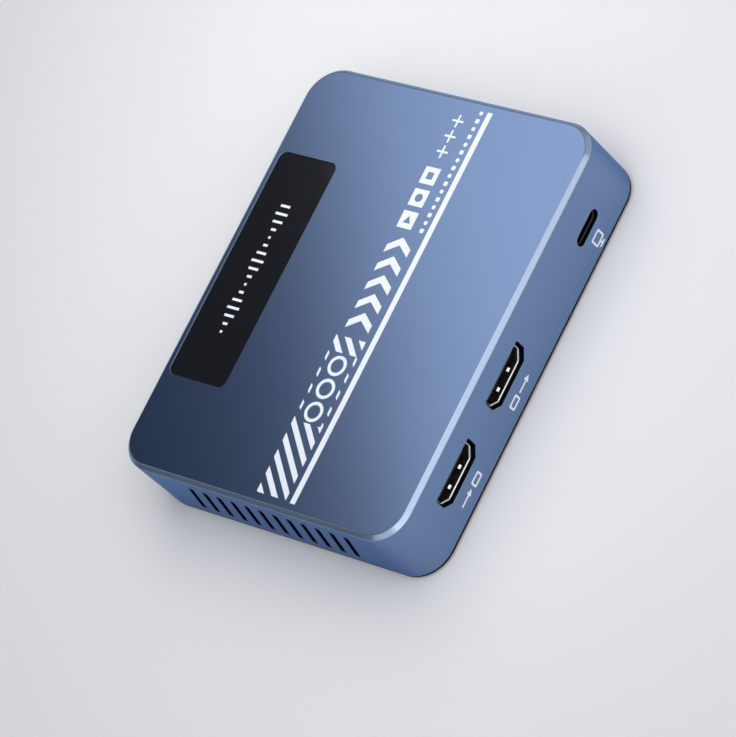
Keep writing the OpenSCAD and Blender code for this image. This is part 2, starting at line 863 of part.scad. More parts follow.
module power_row(y) {
    for (i = [0 : 2]) translate([power_x + power_pitch * i, y, 0]) children();
}

module power_chokes() {
    color("#3a3d41") power_row(processor_at.y) {
        block(choke_side, choke_side, board_z, board_z + choke_foot_h);
        rod(choke_core_r, board_z, board_z + choke_h);
    }
}

module bulk_capacitors() {
    color("#b4b8bd") power_row(processor_at.y + can_side + can_out) {
        block(can_side, can_side, board_z, board_z + can_foot_h);
        rod(can_r, board_z, board_z + can_h);
    }
}

// A grid of small two-ended parts around a point of the board
module small_parts(at, columns, rows, size) {
    pitch = [size.x + small_gap, size.y + small_gap];
    for (c = [0 : columns - 1], r = [0 : rows - 1])
        translate([at.x + (c - (columns - 1) / 2) * pitch.x, at.y + (r - (rows - 1) / 2) * pitch.y, 0])
            block(size.x, size.y, board_z, board_z + size.z);
}

module ceramic_capacitors() {
    color("#b59a73") {
        small_parts([processor_at.x, processor_at.y + sink_side / 2 + grid_out], 6, 2, capacitor_size);
        small_parts([host_x, behind_host + controller_side / 2 + grid_out], 4, 2, capacitor_size);
    }
}

module chip_resistors() {
    color("#1e2023") {
        small_parts([video_in_x, behind_video + receiver_side / 2 + grid_out], 5, 2, resistor_size);
        small_parts([video_out_x, behind_video + driver_side / 2 + grid_out], 5, 1, resistor_size);
    }
}

top_shell();
base_plate();
rubber_feet();
base_screws();
light_window();
light_guide();
light_board();
lamps();
light_board_screws();
light_flex_socket();
board_flex_socket();
light_flex_cable();
main_board();
board_screws();
video_in_shell();
video_in_insulator();
video_in_contacts();
video_out_shell();
video_out_insulator();
video_out_contacts();
host_port_shell();
host_port_insulator();
host_port_contacts();
capture_processor();
heat_pad();
heat_sink();
video_receiver_chip();
video_driver_chip();
host_controller_chip();
memory_chips();
flash_chip();
clock_crystals();
power_chokes();
bulk_capacitors();
ceramic_capacitors();
chip_resistors();
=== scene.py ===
"""Looks of a flat desktop video capture box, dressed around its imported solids.

The case is satin blue anodised aluminium with white print, slanted vents, two video sockets, a host
socket and a dark polished window. Sizes are in millimetres in the dataclasses and become metres when a
mesh is made.
"""

import json
import logging
import math
from dataclasses import dataclass, field
from enum import Enum
from typing import Callable, Iterable, Sequence

import bmesh
import bpy
from mathutils import Matrix, Quaternion, Vector
from mathutils.geometry import tessellate_polygon

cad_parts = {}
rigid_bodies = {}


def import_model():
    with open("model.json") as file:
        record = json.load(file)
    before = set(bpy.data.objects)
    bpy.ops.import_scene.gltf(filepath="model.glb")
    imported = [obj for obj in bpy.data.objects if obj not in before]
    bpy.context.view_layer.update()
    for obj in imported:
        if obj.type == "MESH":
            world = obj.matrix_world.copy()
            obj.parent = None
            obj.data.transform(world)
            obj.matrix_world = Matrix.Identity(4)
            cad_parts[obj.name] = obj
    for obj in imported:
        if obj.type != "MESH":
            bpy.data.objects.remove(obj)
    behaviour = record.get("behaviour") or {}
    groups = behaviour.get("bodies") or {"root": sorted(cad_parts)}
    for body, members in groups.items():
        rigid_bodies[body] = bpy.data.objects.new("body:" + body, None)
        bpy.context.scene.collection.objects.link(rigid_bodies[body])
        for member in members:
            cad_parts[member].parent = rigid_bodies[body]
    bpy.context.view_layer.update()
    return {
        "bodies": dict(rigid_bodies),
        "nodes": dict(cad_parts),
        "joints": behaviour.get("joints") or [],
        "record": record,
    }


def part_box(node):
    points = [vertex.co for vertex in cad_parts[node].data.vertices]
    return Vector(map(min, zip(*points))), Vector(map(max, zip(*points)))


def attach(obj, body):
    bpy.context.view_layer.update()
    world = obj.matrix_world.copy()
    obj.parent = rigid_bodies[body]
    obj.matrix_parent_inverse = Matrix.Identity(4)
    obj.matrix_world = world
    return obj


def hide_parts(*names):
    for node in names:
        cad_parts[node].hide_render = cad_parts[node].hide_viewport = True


MM = 0.001
BODY = "root"
CASE_SLOT = "blue_anodised"
WINDOW_SLOT = "dark_window"
CUT_EDGE = "cut_edge"
# Attribute of the casing's faces that get painted shade: the cut walls of the vent slots and port openings.
PAINTED_SHADE_WALL = "painted_shade_wall"
BUMP_STRENGTH = 0.6
LOG = logging.getLogger("capture_box")

Colour = tuple[float, float, float]
Spot = tuple[float, float, float]
Point = tuple[float, float]
Loop = list[Point]
Island = list[Loop]
Socket = bpy.types.NodeSocket
Piece = bpy.types.Object
Edge = bmesh.types.BMEdge


# Node trees

class NodeBuilder:
    """Adds nodes to one shader or geometry tree and links them as they are made."""

    def __init__(self, tree: bpy.types.NodeTree) -> None:
        """Keep the tree that the nodes go into."""
        self.tree = tree

    def add(self, kind: str, values: dict | None = None, **settings: object) -> bpy.types.Node:
        """Add one node.

        Args:
            kind: Blender's name for the node type.
            values: socket name or number to a constant, or to another node's output socket.
            settings: properties of the node, such as its operation.

        Returns:
            The new node.
        """
        node = self.tree.nodes.new(kind)
        for name, value in settings.items():
            setattr(node, name, value)
        for name, value in (values or {}).items():
            if isinstance(value, Socket):
                self.link(value, node.inputs[name])
            else:
                node.inputs[name].default_value = value
        return node

    def first(self, kind: str, values: dict | None = None, **settings: object) -> Socket:
        """Add one node and return its first output."""
        return self.add(kind, values, **settings).outputs[0]

    def link(self, source: Socket, target: Socket) -> None:
        """Link an output to an input, in place of what fed that input before."""
        self.tree.links.new(source, target)

    def math(self, operation: str, *terms: object) -> Socket:
        """Add a Math node and return its result."""
        return self.first("ShaderNodeMath", dict(enumerate(terms)), operation=operation)

    def share(self, value: Socket) -> Socket:
        """Map a value from -1..1 to a mask of 0..1 and return the mask."""
        return self.math("MULTIPLY_ADD", value, 0.5, 0.5)

    def half(self, value: Socket) -> Socket:
        """Return half of a value."""
        return self.math("MULTIPLY", value, 0.5)

    def vector(self, x: object = 0.0, y: object = 0.0, z: object = 0.0) -> Socket:
        """Join three numbers to a vector and return it."""
        return self.first("ShaderNodeCombineXYZ", {"X": x, "Y": y, "Z": z})

    def spread(self, mask: Socket, low: float, high: float) -> Socket:
        """Map a mask from 0..1 to low..high and return the result."""
        return self.first("ShaderNodeMapRange", {"Value": mask, "To Min": low, "To Max": high})

    def band(self, value: Socket, low: float, high: float) -> Socket:
        """Map a value from low..high to a mask of 0..1 and return the mask."""
        return self.first("ShaderNodeMapRange", {"Value": value, "From Min": low, "From Max": high})

    def drift(self, mask: Socket, start: object, end: object) -> Socket:
        """Mix two numbers by a mask and return the result."""
        return self.first("ShaderNodeMix", {0: mask, 2: start, 3: end}, data_type="FLOAT")

    def blend(self, mask: Socket, start: object, end: object) -> Socket:
        """Mix two colours by a mask and return the result."""
        return self.add("ShaderNodeMix", {0: mask, 6: start, 7: end}, data_type="RGBA").outputs[2]


def new_group(name: str, kind: str, inputs: dict[str, tuple[str, object]],
              outputs: dict[str, str]) -> tuple[NodeBuilder, bpy.types.Node, bpy.types.Node]:
    """Start a node group with named sockets.

    Args:
        name: the group's name.
        kind: "ShaderNodeTree" or "GeometryNodeTree".
        inputs: socket name to its type and default value.
        outputs: socket name to its type.

    Returns:
        A builder for the group, its input node and its output node.
    """
    tree = bpy.data.node_groups.new(name, kind)
    for label, (socket, default) in inputs.items():
        item = tree.interface.new_socket(label, in_out="INPUT", socket_type=socket)
        if default is not None:
            item.default_value = default
    for label, socket in outputs.items():
        tree.interface.new_socket(label, in_out="OUTPUT", socket_type=socket)
    builder = NodeBuilder(tree)
    return builder, builder.add("NodeGroupInput"), builder.add("NodeGroupOutput")


class Effect(Enum):
    """Surface effects that several finishes share."""

    GRAIN = "fine_grain"
    STREAK = "fine_streaks"
    HANDLING = "handling_marks"


class EffectLibrary:
    """Builds each shared surface effect once, as a shader node group."""

    FLOAT = "NodeSocketFloat"
    SPECK = (0.10, 0.04)

    def __init__(self) -> None:
        """Build all the groups."""
        self.groups = {Effect.GRAIN: self.grain(), Effect.STREAK: self.streak(),
                       Effect.HANDLING: self.handling()}

    def start(self, effect: Effect, inputs: dict[str, float], outputs: Sequence[str],
              ) -> tuple[NodeBuilder, bpy.types.Node, bpy.types.Node, Socket]:
        """Start the group of one effect.

        Args:
            effect: the effect.
            inputs: names of the group's inputs, with their usual values.
            outputs: names of the group's outputs.

        Returns:
            A builder for the group, its input node, its output node and the place on the object.
        """
        builder, given, out = new_group(
            effect.value, "ShaderNodeTree", {name: (self.FLOAT, value) for name, value in inputs.items()},
            {name: self.FLOAT for name in outputs})
        return builder, given, out, builder.add("ShaderNodeTexCoord").outputs["Object"]

    def grain(self) -> bpy.types.NodeTree:
        """Build a blasted or moulded grain with slow patches of tone.

        Returns:
            The group, which puts out the grain's height and a mask of the patches.
        """
        builder, given, out, place = self.start(
            Effect.GRAIN, {"Grains per metre": 9000.0, "Patches per metre": 60.0}, ("Height", "Patch"))
        for i, detail in enumerate((2.0, 3.0)):
            noise = builder.first("ShaderNodeTexNoise", {"Vector": place, "Scale": given.outputs[i],
                                                         "Detail": detail})
            builder.link(noise, out.inputs[i])
        return builder.tree

    def streak(self) -> bpy.types.NodeTree:
        """Build fine drawn lines that run along X.

        Returns:
            The group, which puts out the lines' height.
        """
        builder, given, out, place = self.start(
            Effect.STREAK, {"Lines per metre": 6000.0, "Stretch": 0.02}, ("Height",))
        scale = builder.vector(given.outputs["Stretch"], 1.0, 1.0)
        drawn = builder.first("ShaderNodeMapping", {"Vector": place, "Scale": scale})
        lines = builder.first("ShaderNodeTexNoise", {
            "Vector": drawn, "Scale": given.outputs["Lines per metre"], "Detail": 2.0})
        builder.link(lines, out.inputs["Height"])
        return builder.tree

    def handling(self) -> bpy.types.NodeTree:
        """Build faint smears and dust from handling.

        Returns:
            The group, which puts out a mask of the smears and one of the dust.
        """
        builder, given, out, place = self.start(
            Effect.HANDLING, {"Smears per metre": 35.0, "Specks per metre": 900.0}, ("Smear", "Dust"))
        smear = builder.first("ShaderNodeTexNoise", {
            "Vector": place, "Scale": given.outputs["Smears per metre"], "Detail": 4.0, "Distortion": 1.2})
        specks = builder.first("ShaderNodeTexVoronoi", {
            "Vector": place, "Scale": given.outputs["Specks per metre"]})
        builder.link(smear, out.inputs["Smear"])
        builder.link(builder.band(specks, *self.SPECK), out.inputs["Dust"])
        return builder.tree


# Finishes

class Surface:
    """One material: its shader's inputs, the nodes that feed them and the shared effects."""

    def __init__(self, material: bpy.types.Material, effects: EffectLibrary) -> None:
        """Keep what the finishes work on.

        Args:
            material: a material with nodes.
            effects: the shared surface effects.
        """
        self.builder = NodeBuilder(material.node_tree)
        self.inputs = material.node_tree.nodes["Principled BSDF"].inputs
        self.groups = effects.groups

    def set(self, name: str, value: object) -> None:
        """Set a constant on one of the shader's inputs."""
        self.inputs[name].default_value = value

    def effect(self, effect: Effect, values: dict[str, float]) -> bpy.types.Node:
        """Place one shared effect with its own values and return its node."""
        return self.builder.add("ShaderNodeGroup", values, node_tree=self.groups[effect])

    def tint(self, mask: Socket, start: Colour, end: Colour) -> None:
        """Let a mask lead the colour from one to another."""
        tone = self.builder.blend(mask, (*start, 1.0), (*end, 1.0))
        self.builder.link(tone, self.inputs["Base Color"])

    def gloss(self, mask: Socket, low: float, high: float) -> None:
        """Let a mask lead the roughness from low to high."""
        self.builder.link(self.builder.spread(mask, low, high), self.inputs["Roughness"])

    def cover(self, mask: Socket, colour: Colour, roughness: float) -> None:
        """Lay another colour and roughness over those so far.

        Args:
            mask: where they lie.
            colour: the colour there.
            roughness: the roughness there.
        """
        tone, gloss = self.inputs["Base Color"], self.inputs["Roughness"]
        self.builder.link(self.builder.blend(mask, tone.links[0].from_socket, (*colour, 1.0)), tone)
        self.builder.link(self.builder.drift(mask, gloss.links[0].from_socket, roughness), gloss)

    def bump(self, height: Socket, depth: float) -> None:
        """Let a height mask stir the surface.

        Args:
            height: the mask.
            depth: how deep it goes, in millimetres.
        """
        normal = self.builder.first("ShaderNodeBump", {
            "Height": height, "Distance": depth * MM, "Strength": BUMP_STRENGTH})
        self.builder.link(normal, self.inputs["Normal"])


@dataclass(frozen=True)
class Finish:
    """A surface finish: what every finish has."""

    name: str
    colour: Colour
    roughness: float

    def material(self, effects: EffectLibrary) -> bpy.types.Material:
        """Build the finish's material.

        Args:
            effects: the shared surface effects.

        Returns:
            The new material.
        """
        made = bpy.data.materials.new(self.name)
        made.use_nodes = True
        made.diffuse_color = (*self.colour, 1.0)
        surface = Surface(made, effects)
        surface.set("Base Color", (*self.colour, 1.0))
        surface.set("Roughness", self.roughness)
        self.paint(surface)
        return made

    def paint(self, surface: Surface) -> None:
        """Add what sets this finish apart; the plain finish adds nothing."""


@dataclass(frozen=True)
class GrainedFinish(Finish):
    """A finish with a fine grain, whose colour drifts in slow patches."""

    pale: Colour
    grains: float = 5000.0
    patches: float = 90.0
    swing: float = 0.08
    depth: float = 0.01

    def paint(self, surface: Surface) -> None:
        """Vary the colour in patches, and the gloss and the height with the grain.

        Args:
            surface: the material to paint.
        """
        grain = surface.effect(Effect.GRAIN, {"Grains per metre": self.grains,
                                              "Patches per metre": self.patches})
        height = grain.outputs["Height"]
        surface.tint(grain.outputs["Patch"], self.colour, self.pale)
        surface.gloss(height, self.roughness - self.swing, self.roughness + self.swing)
        surface.bump(height, self.depth)


@dataclass(frozen=True)
class AnodisedFinish(GrainedFinish):
    """Bead-blasted aluminium, dyed and sealed: at a grazing look the dye tints what it mirrors."""

    rim: Colour = (1.0, 1.0, 1.0)
    grains: float = 7000.0
    patches: float = 28.0
    swing: float = 0.03
    depth: float = 0.004

    def paint(self, surface: Surface) -> None:
        """Make the grained surface a dyed metal.

        Args:
            surface: the material to paint.
        """
        super().paint(surface)
        surface.set("Metallic", 1.0)
        surface.set("Specular Tint", (*self.rim, 1.0))


@dataclass(frozen=True)
class CutAnodisedFinish(AnodisedFinish):
    """Anodised aluminium with a bevel that was cut bright, and painted shade that darkens the cut walls of
    the openings, as two attributes tell.
    """

    cut: Colour = (0.35, 0.44, 0.58)
    cut_roughness: float = 0.3
    # Painted shade: the wall colour is near-black laid on the cut walls of the slots and openings, with its
    # roughness.
    wall: Colour = (0.012, 0.014, 0.02)
    shaded_wall_roughness: float = 0.6

    def paint(self, surface: Surface) -> None:
        """Add the paler and smoother bevel, and the painted shade on the cut walls of the openings.

        Args:
            surface: the material to paint.
        """
        super().paint(surface)
        # Cover the bevel with its paler cut colour, and the cut walls with the painted shade.
        for name, colour, roughness in ((CUT_EDGE, self.cut, self.cut_roughness),
                                        (PAINTED_SHADE_WALL, self.wall, self.shaded_wall_roughness)):
            mask = surface.builder.add("ShaderNodeAttribute", attribute_name=name).outputs["Fac"]
            surface.cover(mask, colour, roughness)


@dataclass(frozen=True)
class MouldedFinish(GrainedFinish):
    """Moulded plastic, rubber, epoxy or fired ceramic with a fine grain."""

    specular: float = 0.5

    def paint(self, surface: Surface) -> None:
        """Set how strongly the grained surface mirrors."""
        super().paint(surface)
        surface.set("Specular IOR Level", self.specular)


@dataclass(frozen=True)
class PlatedFinish(Finish):
    """Rolled and plated metal with faint drawn lines."""

    pale: Colour
    lines: float = 5000.0
    stretch: float = 0.03
    swing: float = 0.07
    depth: float = 0.002

    def paint(self, surface: Surface) -> None:
        """Let the drawn lines vary the tone, the gloss and the height.

        Args:
            surface: the material to paint.
        """
        streak = surface.effect(Effect.STREAK, {"Lines per metre": self.lines, "Stretch": self.stretch})
        height = streak.outputs["Height"]
        surface.tint(height, self.colour, self.pale)
        surface.gloss(height, self.roughness - self.swing, self.roughness + self.swing)
        surface.bump(height, self.depth)
        surface.set("Metallic", 1.0)


@dataclass(frozen=True)
class PolishedFinish(Finish):
    """Polished smoked plastic with faint handling marks."""

    dust: Colour = (0.06, 0.065, 0.08)
    dust_share: float = 0.25
    smear_roughness: float = 0.2

    def paint(self, surface: Surface) -> None:
        """Let smears dull the gloss a little and specks of dust lighten the colour.

        Args:
            surface: the material to paint.
        """
        marks = surface.effect(Effect.HANDLING, {})
        faint = surface.builder.math("MULTIPLY", marks.outputs["Dust"], self.dust_share)
        surface.tint(faint, self.colour, self.dust)
        surface.gloss(marks.outputs["Smear"], self.roughness, self.smear_roughness)


@dataclass(frozen=True)
class InkFinish(Finish):
    """White screen-printed ink, a little uneven."""

    thin: Colour = (0.7, 0.72, 0.76)
    thin_band: Point = (0.62, 0.85)
    grains: float = 2600.0
    patches: float = 140.0
    depth: float = 0.004

    def paint(self, surface: Surface) -> None:
        """Let the ink lie a little thinner in places.

        Args:
            surface: the material to paint.
        """
        grain = surface.effect(Effect.GRAIN, {"Grains per metre": self.grains,
                                              "Patches per metre": self.patches})
        thin = surface.builder.band(grain.outputs["Patch"], *self.thin_band)
        surface.tint(thin, self.colour, self.thin)
        surface.bump(grain.outputs["Height"], self.depth)


@dataclass(frozen=True)
class BoardFinish(Finish):
    """Solder mask over copper tracks."""

    track: Colour = (0.03, 0.032, 0.036)
    track_band: Point = (0.30, 0.38)
    tracks: float = 420.0
    disorder: float = 0.7
    depth: float = 0.03

    def paint(self, surface: Surface) -> None:
        """Draw tracks as the lines between square cells, and let them stand proud of the board.

        Args:
            surface: the material to paint.
        """
        builder = surface.builder
        place = builder.add("ShaderNodeTexCoord").outputs["Object"]
        cells = builder.first("ShaderNodeTexVoronoi", {
            "Vector": place, "Scale": self.tracks, "Randomness": self.disorder},
            distance="CHEBYCHEV", feature="F1")
        lines = builder.band(cells, *self.track_band)
        surface.tint(lines, self.colour, self.track)
        surface.bump(lines, self.depth)


@dataclass(frozen=True)
class FrostedFinish(Finish):
    """Clear plastic with a frosted face, for the light guide and the lamps."""

    grains: float = 3000.0
    swing: float = 0.2
    depth: float = 0.02
    transmission: float = 0.4

    def paint(self, surface: Surface) -> None:
        """Frost the face with a fine grain and let some light into it.

        Args:
            surface: the material to paint.
        """
        height = surface.effect(Effect.GRAIN, {"Grains per metre": self.grains}).outputs["Height"]
        surface.gloss(height, self.roughness, self.roughness + self.swing)
        surface.bump(height, self.depth)
        surface.set("Transmission Weight", self.transmission)


@dataclass(frozen=True)
class FinishSet:
    """All the finishes of the object, each named for the material slot that it dresses, and the ink."""

    shades: tuple[Finish, ...] = (
        CutAnodisedFinish(CASE_SLOT, (0.181, 0.26, 0.438), 0.34, pale=(0.202, 0.288, 0.47),
                          rim=(0.4, 0.5, 0.72)),
        MouldedFinish("black_base", (0.008, 0.008, 0.009), 0.8, pale=(0.013, 0.013, 0.015), specular=0.0),
        MouldedFinish("foot_rubber", (0.02, 0.02, 0.022), 0.8, pale=(0.032, 0.032, 0.034), grains=3000.0,
                      depth=0.03),
        PlatedFinish("screw_steel", (0.30, 0.31, 0.33), 0.32, pale=(0.42, 0.43, 0.45)),
        PolishedFinish(WINDOW_SLOT, (0.009, 0.0098, 0.012), 0.10),
        FrostedFinish("clear_guide", (0.85, 0.87, 0.9), 0.35),
        BoardFinish("board_black", (0.010, 0.011, 0.013), 0.35),
        FrostedFinish("lamp_white", (0.9, 0.87, 0.78), 0.3),
        MouldedFinish("cream_plastic", (0.55, 0.5, 0.39), 0.5, pale=(0.62, 0.57, 0.46)),
        MouldedFinish("flex_film", (0.66, 0.6, 0.46), 0.4, pale=(0.74, 0.69, 0.56)),
        PlatedFinish("socket_steel", (0.62, 0.63, 0.65), 0.24, pale=(0.78, 0.79, 0.81)),
        PlatedFinish("socket_dark_steel", (0.035, 0.036, 0.04), 0.38, pale=(0.055, 0.056, 0.06)),
        MouldedFinish("socket_black", (0.006, 0.006, 0.007), 0.55, pale=(0.01, 0.01, 0.011)),
        PlatedFinish("contact_gold", (0.78, 0.52, 0.16), 0.28, pale=(0.86, 0.62, 0.24)),
        MouldedFinish("chip_black", (0.016, 0.017, 0.019), 0.6, pale=(0.026, 0.027, 0.03)),
        MouldedFinish("heat_pad_grey", (0.25, 0.32, 0.38), 0.75, pale=(0.31, 0.39, 0.45)),
        AnodisedFinish("sink_black", (0.02, 0.021, 0.024), 0.45, pale=(0.03, 0.031, 0.034)),
        PlatedFinish("crystal_steel", (0.55, 0.56, 0.58), 0.26, pale=(0.68, 0.69, 0.7)),
        MouldedFinish("choke_grey", (0.05, 0.052, 0.055), 0.7, pale=(0.08, 0.082, 0.086)),
        PlatedFinish("can_aluminium", (0.6, 0.61, 0.63), 0.3, pale=(0.74, 0.75, 0.76)),
        MouldedFinish("capacitor_tan", (0.32, 0.21, 0.1), 0.45, pale=(0.42, 0.29, 0.15)),
        MouldedFinish("resistor_black", (0.012, 0.012, 0.014), 0.35, pale=(0.02, 0.02, 0.022)),
    )
    ink: InkFinish = InkFinish("white_ink", (0.83, 0.87, 0.93), 0.5)


# Meshes

def new_object(name: str, data: bpy.types.ID) -> Piece:
    """Put a mesh, a lamp or a camera into the scene.

    Args:
        name: the object's name.
        data: what the object shows.

    Returns:
        The new object, at the origin.
    """
    made = bpy.data.objects.new(name, data)
    bpy.context.scene.collection.objects.link(made)
    return made


def evaluated_mesh(piece: Piece) -> bpy.types.Mesh:
    """Return a plain copy of what a piece's modifiers make of it."""
    graph = bpy.context.evaluated_depsgraph_get()
    return bpy.data.meshes.new_from_object(piece.evaluated_get(graph), depsgraph=graph)


def rect_loop(middle: Point, size: Point, radius: float = 0.0, steps: int = 6) -> Loop:
    """Draw the outline of a rectangle, with round corners where a radius is given.

    Args:
        middle: the rectangle's middle.
        size: its width and height.
        radius: radius of its corners.
        steps: pieces that each round corner is made of.

    Returns:
        The outline's points, anticlockwise.
    """
    half = (size[0] / 2 - radius, size[1] / 2 - radius)
    corners = [(1, 1, 0), (-1, 1, 90), (-1, -1, 180), (1, -1, 270)]
    if not radius:
        return [(middle[0] + sx * half[0], middle[1] + sy * half[1]) for sx, sy, _ in corners]
    return [(middle[0] + sx * half[0] + radius * math.cos(math.radians(start + 90 * i / steps)),
             middle[1] + sy * half[1] + radius * math.sin(math.radians(start + 90 * i / steps)))
            for sx, sy, start in corners for i in range(steps + 1)]


def round_loop(middle: Point, radius: float, sides: int) -> Loop:
    """Return a circle's outline, or a regular polygon's where it has few sides."""
    turns = [math.tau * i / sides for i in range(sides)]
    return [(middle[0] + radius * math.cos(a), middle[1] + radius * math.sin(a)) for a in turns]


def arrow_loop(tail: Point, length: float, shaft: float, head: Point) -> Loop:
    """Draw the outline of an arrow that points along +X.

    Args:
        tail: the middle of the arrow's tail.
        length: its length from tail to tip.
        shaft: the shaft's width.
        head: the head's length and width.

    Returns:
        The outline's points, anticlockwise.
    """
    neck, tip = tail[0] + length - head[0], tail[0] + length
    low = [(tail[0], -shaft / 2), (neck, -shaft / 2), (neck, -head[1] / 2), (tip, 0.0)]
    high = [(neck, head[1] / 2), (neck, shaft / 2), (tail[0], shaft / 2)]
    return [(x, tail[1] + y) for x, y in low + high]


def slab(name: str, islands: Iterable[Island], thickness: float, place: Matrix) -> Piece:
    """Make thin closed solids from flat outlines.

    Args:
        name: the piece's name.
        islands: for each solid, its outline and then the outlines of its holes, in millimetres.
        thickness: how thick the solids are, in millimetres.
        place: turns and moves the flat drawing to where it lies, in millimetres.

    Returns:
        The new piece, with its place in its mesh.
    """
    shape = bmesh.new()
    for island in islands:
        loops = [[Vector((x, y, 0.0)) for x, y in loop] for loop in island]
        low, high = ([shape.verts.new(point + Vector((0.0, 0.0, z))) for loop in loops for point in loop]
                     for z in (0.0, thickness))
        for a, b, c in tessellate_polygon(loops):
            shape.faces.new((high[a], high[b], high[c]))
            shape.faces.new((low[c], low[b], low[a]))
        first = 0
        for loop in loops:
            for i in range(len(loop)):
                a, b = first + i, first + (i + 1) % len(loop)
                shape.faces.new((low[a], low[b], high[b], high[a]))
            first += len(loop)
    bmesh.ops.recalc_face_normals(shape, faces=shape.faces)
    mesh = bpy.data.meshes.new(name)
    shape.to_mesh(mesh)
    shape.free()
    mesh.transform(Matrix.Scale(MM, 4) @ place)
    return new_object(name, mesh)


def on_top(height: float) -> Matrix:
    """Return the place of a drawing that lies face up at a height."""
    return Matrix.Translation((0.0, 0.0, height))


def on_front(depth: float) -> Matrix:
    """Return the place of a drawing that stands on the port face and looks along -Y."""
    return Matrix.Translation((0.0, depth, 0.0)) @ Matrix.Rotation(math.radians(90), 4, "X")


# Repeated marks

class Mark(Enum):
    """Flat marks that the print repeats along a row."""

    BAR = "bar"
    DISC = "disc"
    CHEVRON = "chevron"
    RING = "ring"
    CROSS = "cross"


class MarkTree:
    """A Geometry Nodes tree that repeats one kind of mark along X."""

    SIZES = ("Pitch", "Width", "Height", "Slope", "Stroke", "Swing", "Turn", "Thickness")
    DISC_SIDES = 24
    RING_SIDES = 48

    def __init__(self, mark: Mark) -> None:
        """Build the tree.

        Args:
            mark: the kind of mark that it repeats.
        """
        inputs: dict[str, tuple[str, object]] = {"Count": ("NodeSocketInt", 1),
                                                 "Start": ("NodeSocketVector", None)}
        inputs |= {name: ("NodeSocketFloat", 0.0) for name in self.SIZES}
        inputs["Finish"] = ("NodeSocketMaterial", None)
        self.builder, self.given, out = new_group("row_of_" + mark.value, "GeometryNodeTree", inputs,
                                                  {"Geometry": "NodeSocketGeometry"})
        self.tree = self.builder.tree
        shapes: dict[Mark, Callable[[], Socket]] = {
            Mark.BAR: self.bar, Mark.DISC: self.disc, Mark.CHEVRON: self.chevron, Mark.RING: self.ring,
            Mark.CROSS: self.cross}
        node, size = self.builder.first, self.size
        line = node("GeometryNodeMeshLine", {"Count": size("Count"), "Start Location": size("Start"),
                                             "Offset": self.builder.vector(size("Pitch"))}, mode="OFFSET")
        row = node("GeometryNodeInstanceOnPoints", {"Points": line, "Instance": shapes[mark](),
                                                    "Scale": self.growth()})
        solid = node("GeometryNodeRealizeInstances", {0: row})
        dressed = node("GeometryNodeSetMaterial", {"Geometry": solid, "Material": size("Finish")})
        self.builder.link(dressed, out.inputs[0])

    def size(self, name: str) -> Socket:
        """Return one of the tree's named inputs."""
        return self.given.outputs[name]

    def growth(self) -> Socket:
        """Let the marks' height swing along the row by a cosine of their number.

        Returns:
            Each mark's scale.
        """
        math_of = self.builder.math
        angle = math_of("MULTIPLY", self.builder.first("GeometryNodeInputIndex"), self.size("Turn"))
        wave = self.builder.share(math_of("COSINE", angle))
        tall = math_of("SUBTRACT", 1.0, math_of("MULTIPLY", wave, self.size("Swing")))
        return self.builder.vector(1.0, tall, 1.0)

    def cuboid(self, width: Socket, height: Socket, rows: int = 2) -> Socket:
        """Return a flat block with so many rows of points across its height."""
        extent = self.builder.vector(width, height, self.size("Thickness"))
        return self.builder.first("GeometryNodeMeshCube", {"Size": extent, "Vertices Y": rows})

    def lean(self, shape: Socket, bent: bool) -> Socket:
        """Slant a shape by the slope.

        Args:
            shape: the shape.
            bent: whether it leans both ways from its middle.

        Returns:
            The slanted shape.
        """
        place = self.builder.first("GeometryNodeInputPosition")
        across = self.builder.add("ShaderNodeSeparateXYZ", {0: place}).outputs["Y"]
        if bent:
            across = self.builder.math("MULTIPLY", self.builder.math("ABSOLUTE", across), -1.0)
        shift = self.builder.vector(self.builder.math("MULTIPLY", across, self.size("Slope")))
        return self.builder.first("GeometryNodeSetPosition", {"Geometry": shape, "Offset": shift})

    def bar(self) -> Socket:
        """Return a bar that leans by the slope."""
        return self.lean(self.cuboid(self.size("Width"), self.size("Height")), bent=False)

    def chevron(self) -> Socket:
        """Return an arrowhead stroke that points along +X."""
        return self.lean(self.cuboid(self.size("Stroke"), self.size("Height"), rows=3), bent=True)

    def disc(self) -> Socket:
        """Return a flat round dot."""
        sizes = {"Radius": self.builder.half(self.size("Width")), "Depth": self.size("Thickness")}
        return self.builder.first("GeometryNodeMeshCylinder", sizes | {"Vertices": self.DISC_SIDES})

    def ring(self) -> Socket:
        """Draw a flat ring, which is as wide as the width outside.

        Returns:
            The ring.
        """
        radius = self.builder.half(self.builder.math("SUBTRACT", self.size("Width"), self.size("Stroke")))
        path = self.builder.first("GeometryNodeCurvePrimitiveCircle", {
            "Resolution": self.RING_SIDES, "Radius": radius})
        profile = self.builder.first("GeometryNodeCurvePrimitiveQuadrilateral", {
            "Width": self.size("Stroke"), "Height": self.size("Thickness")})
        return self.builder.first("GeometryNodeCurveToMesh", {"Curve": path, "Profile Curve": profile})

    def cross(self) -> Socket:
        """Draw a plus sign from one long bar and two short ones that meet it.

        Returns:
            The plus sign.
        """
        stroke = self.size("Stroke")
        arm = self.builder.half(self.builder.math("SUBTRACT", self.size("Width"), stroke))
        out = self.builder.half(self.builder.math("ADD", arm, stroke))
        joined = self.builder.add("GeometryNodeJoinGeometry", {0: self.cuboid(self.size("Width"), stroke)})
        for side in (-1.0, 1.0):
            shift = self.builder.vector(y=self.builder.math("MULTIPLY", out, side))
            moved = self.builder.first("GeometryNodeTransform", {
                "Geometry": self.cuboid(stroke, arm), "Translation": shift})
            self.builder.link(moved, joined.inputs[0])
        return joined.outputs[0]


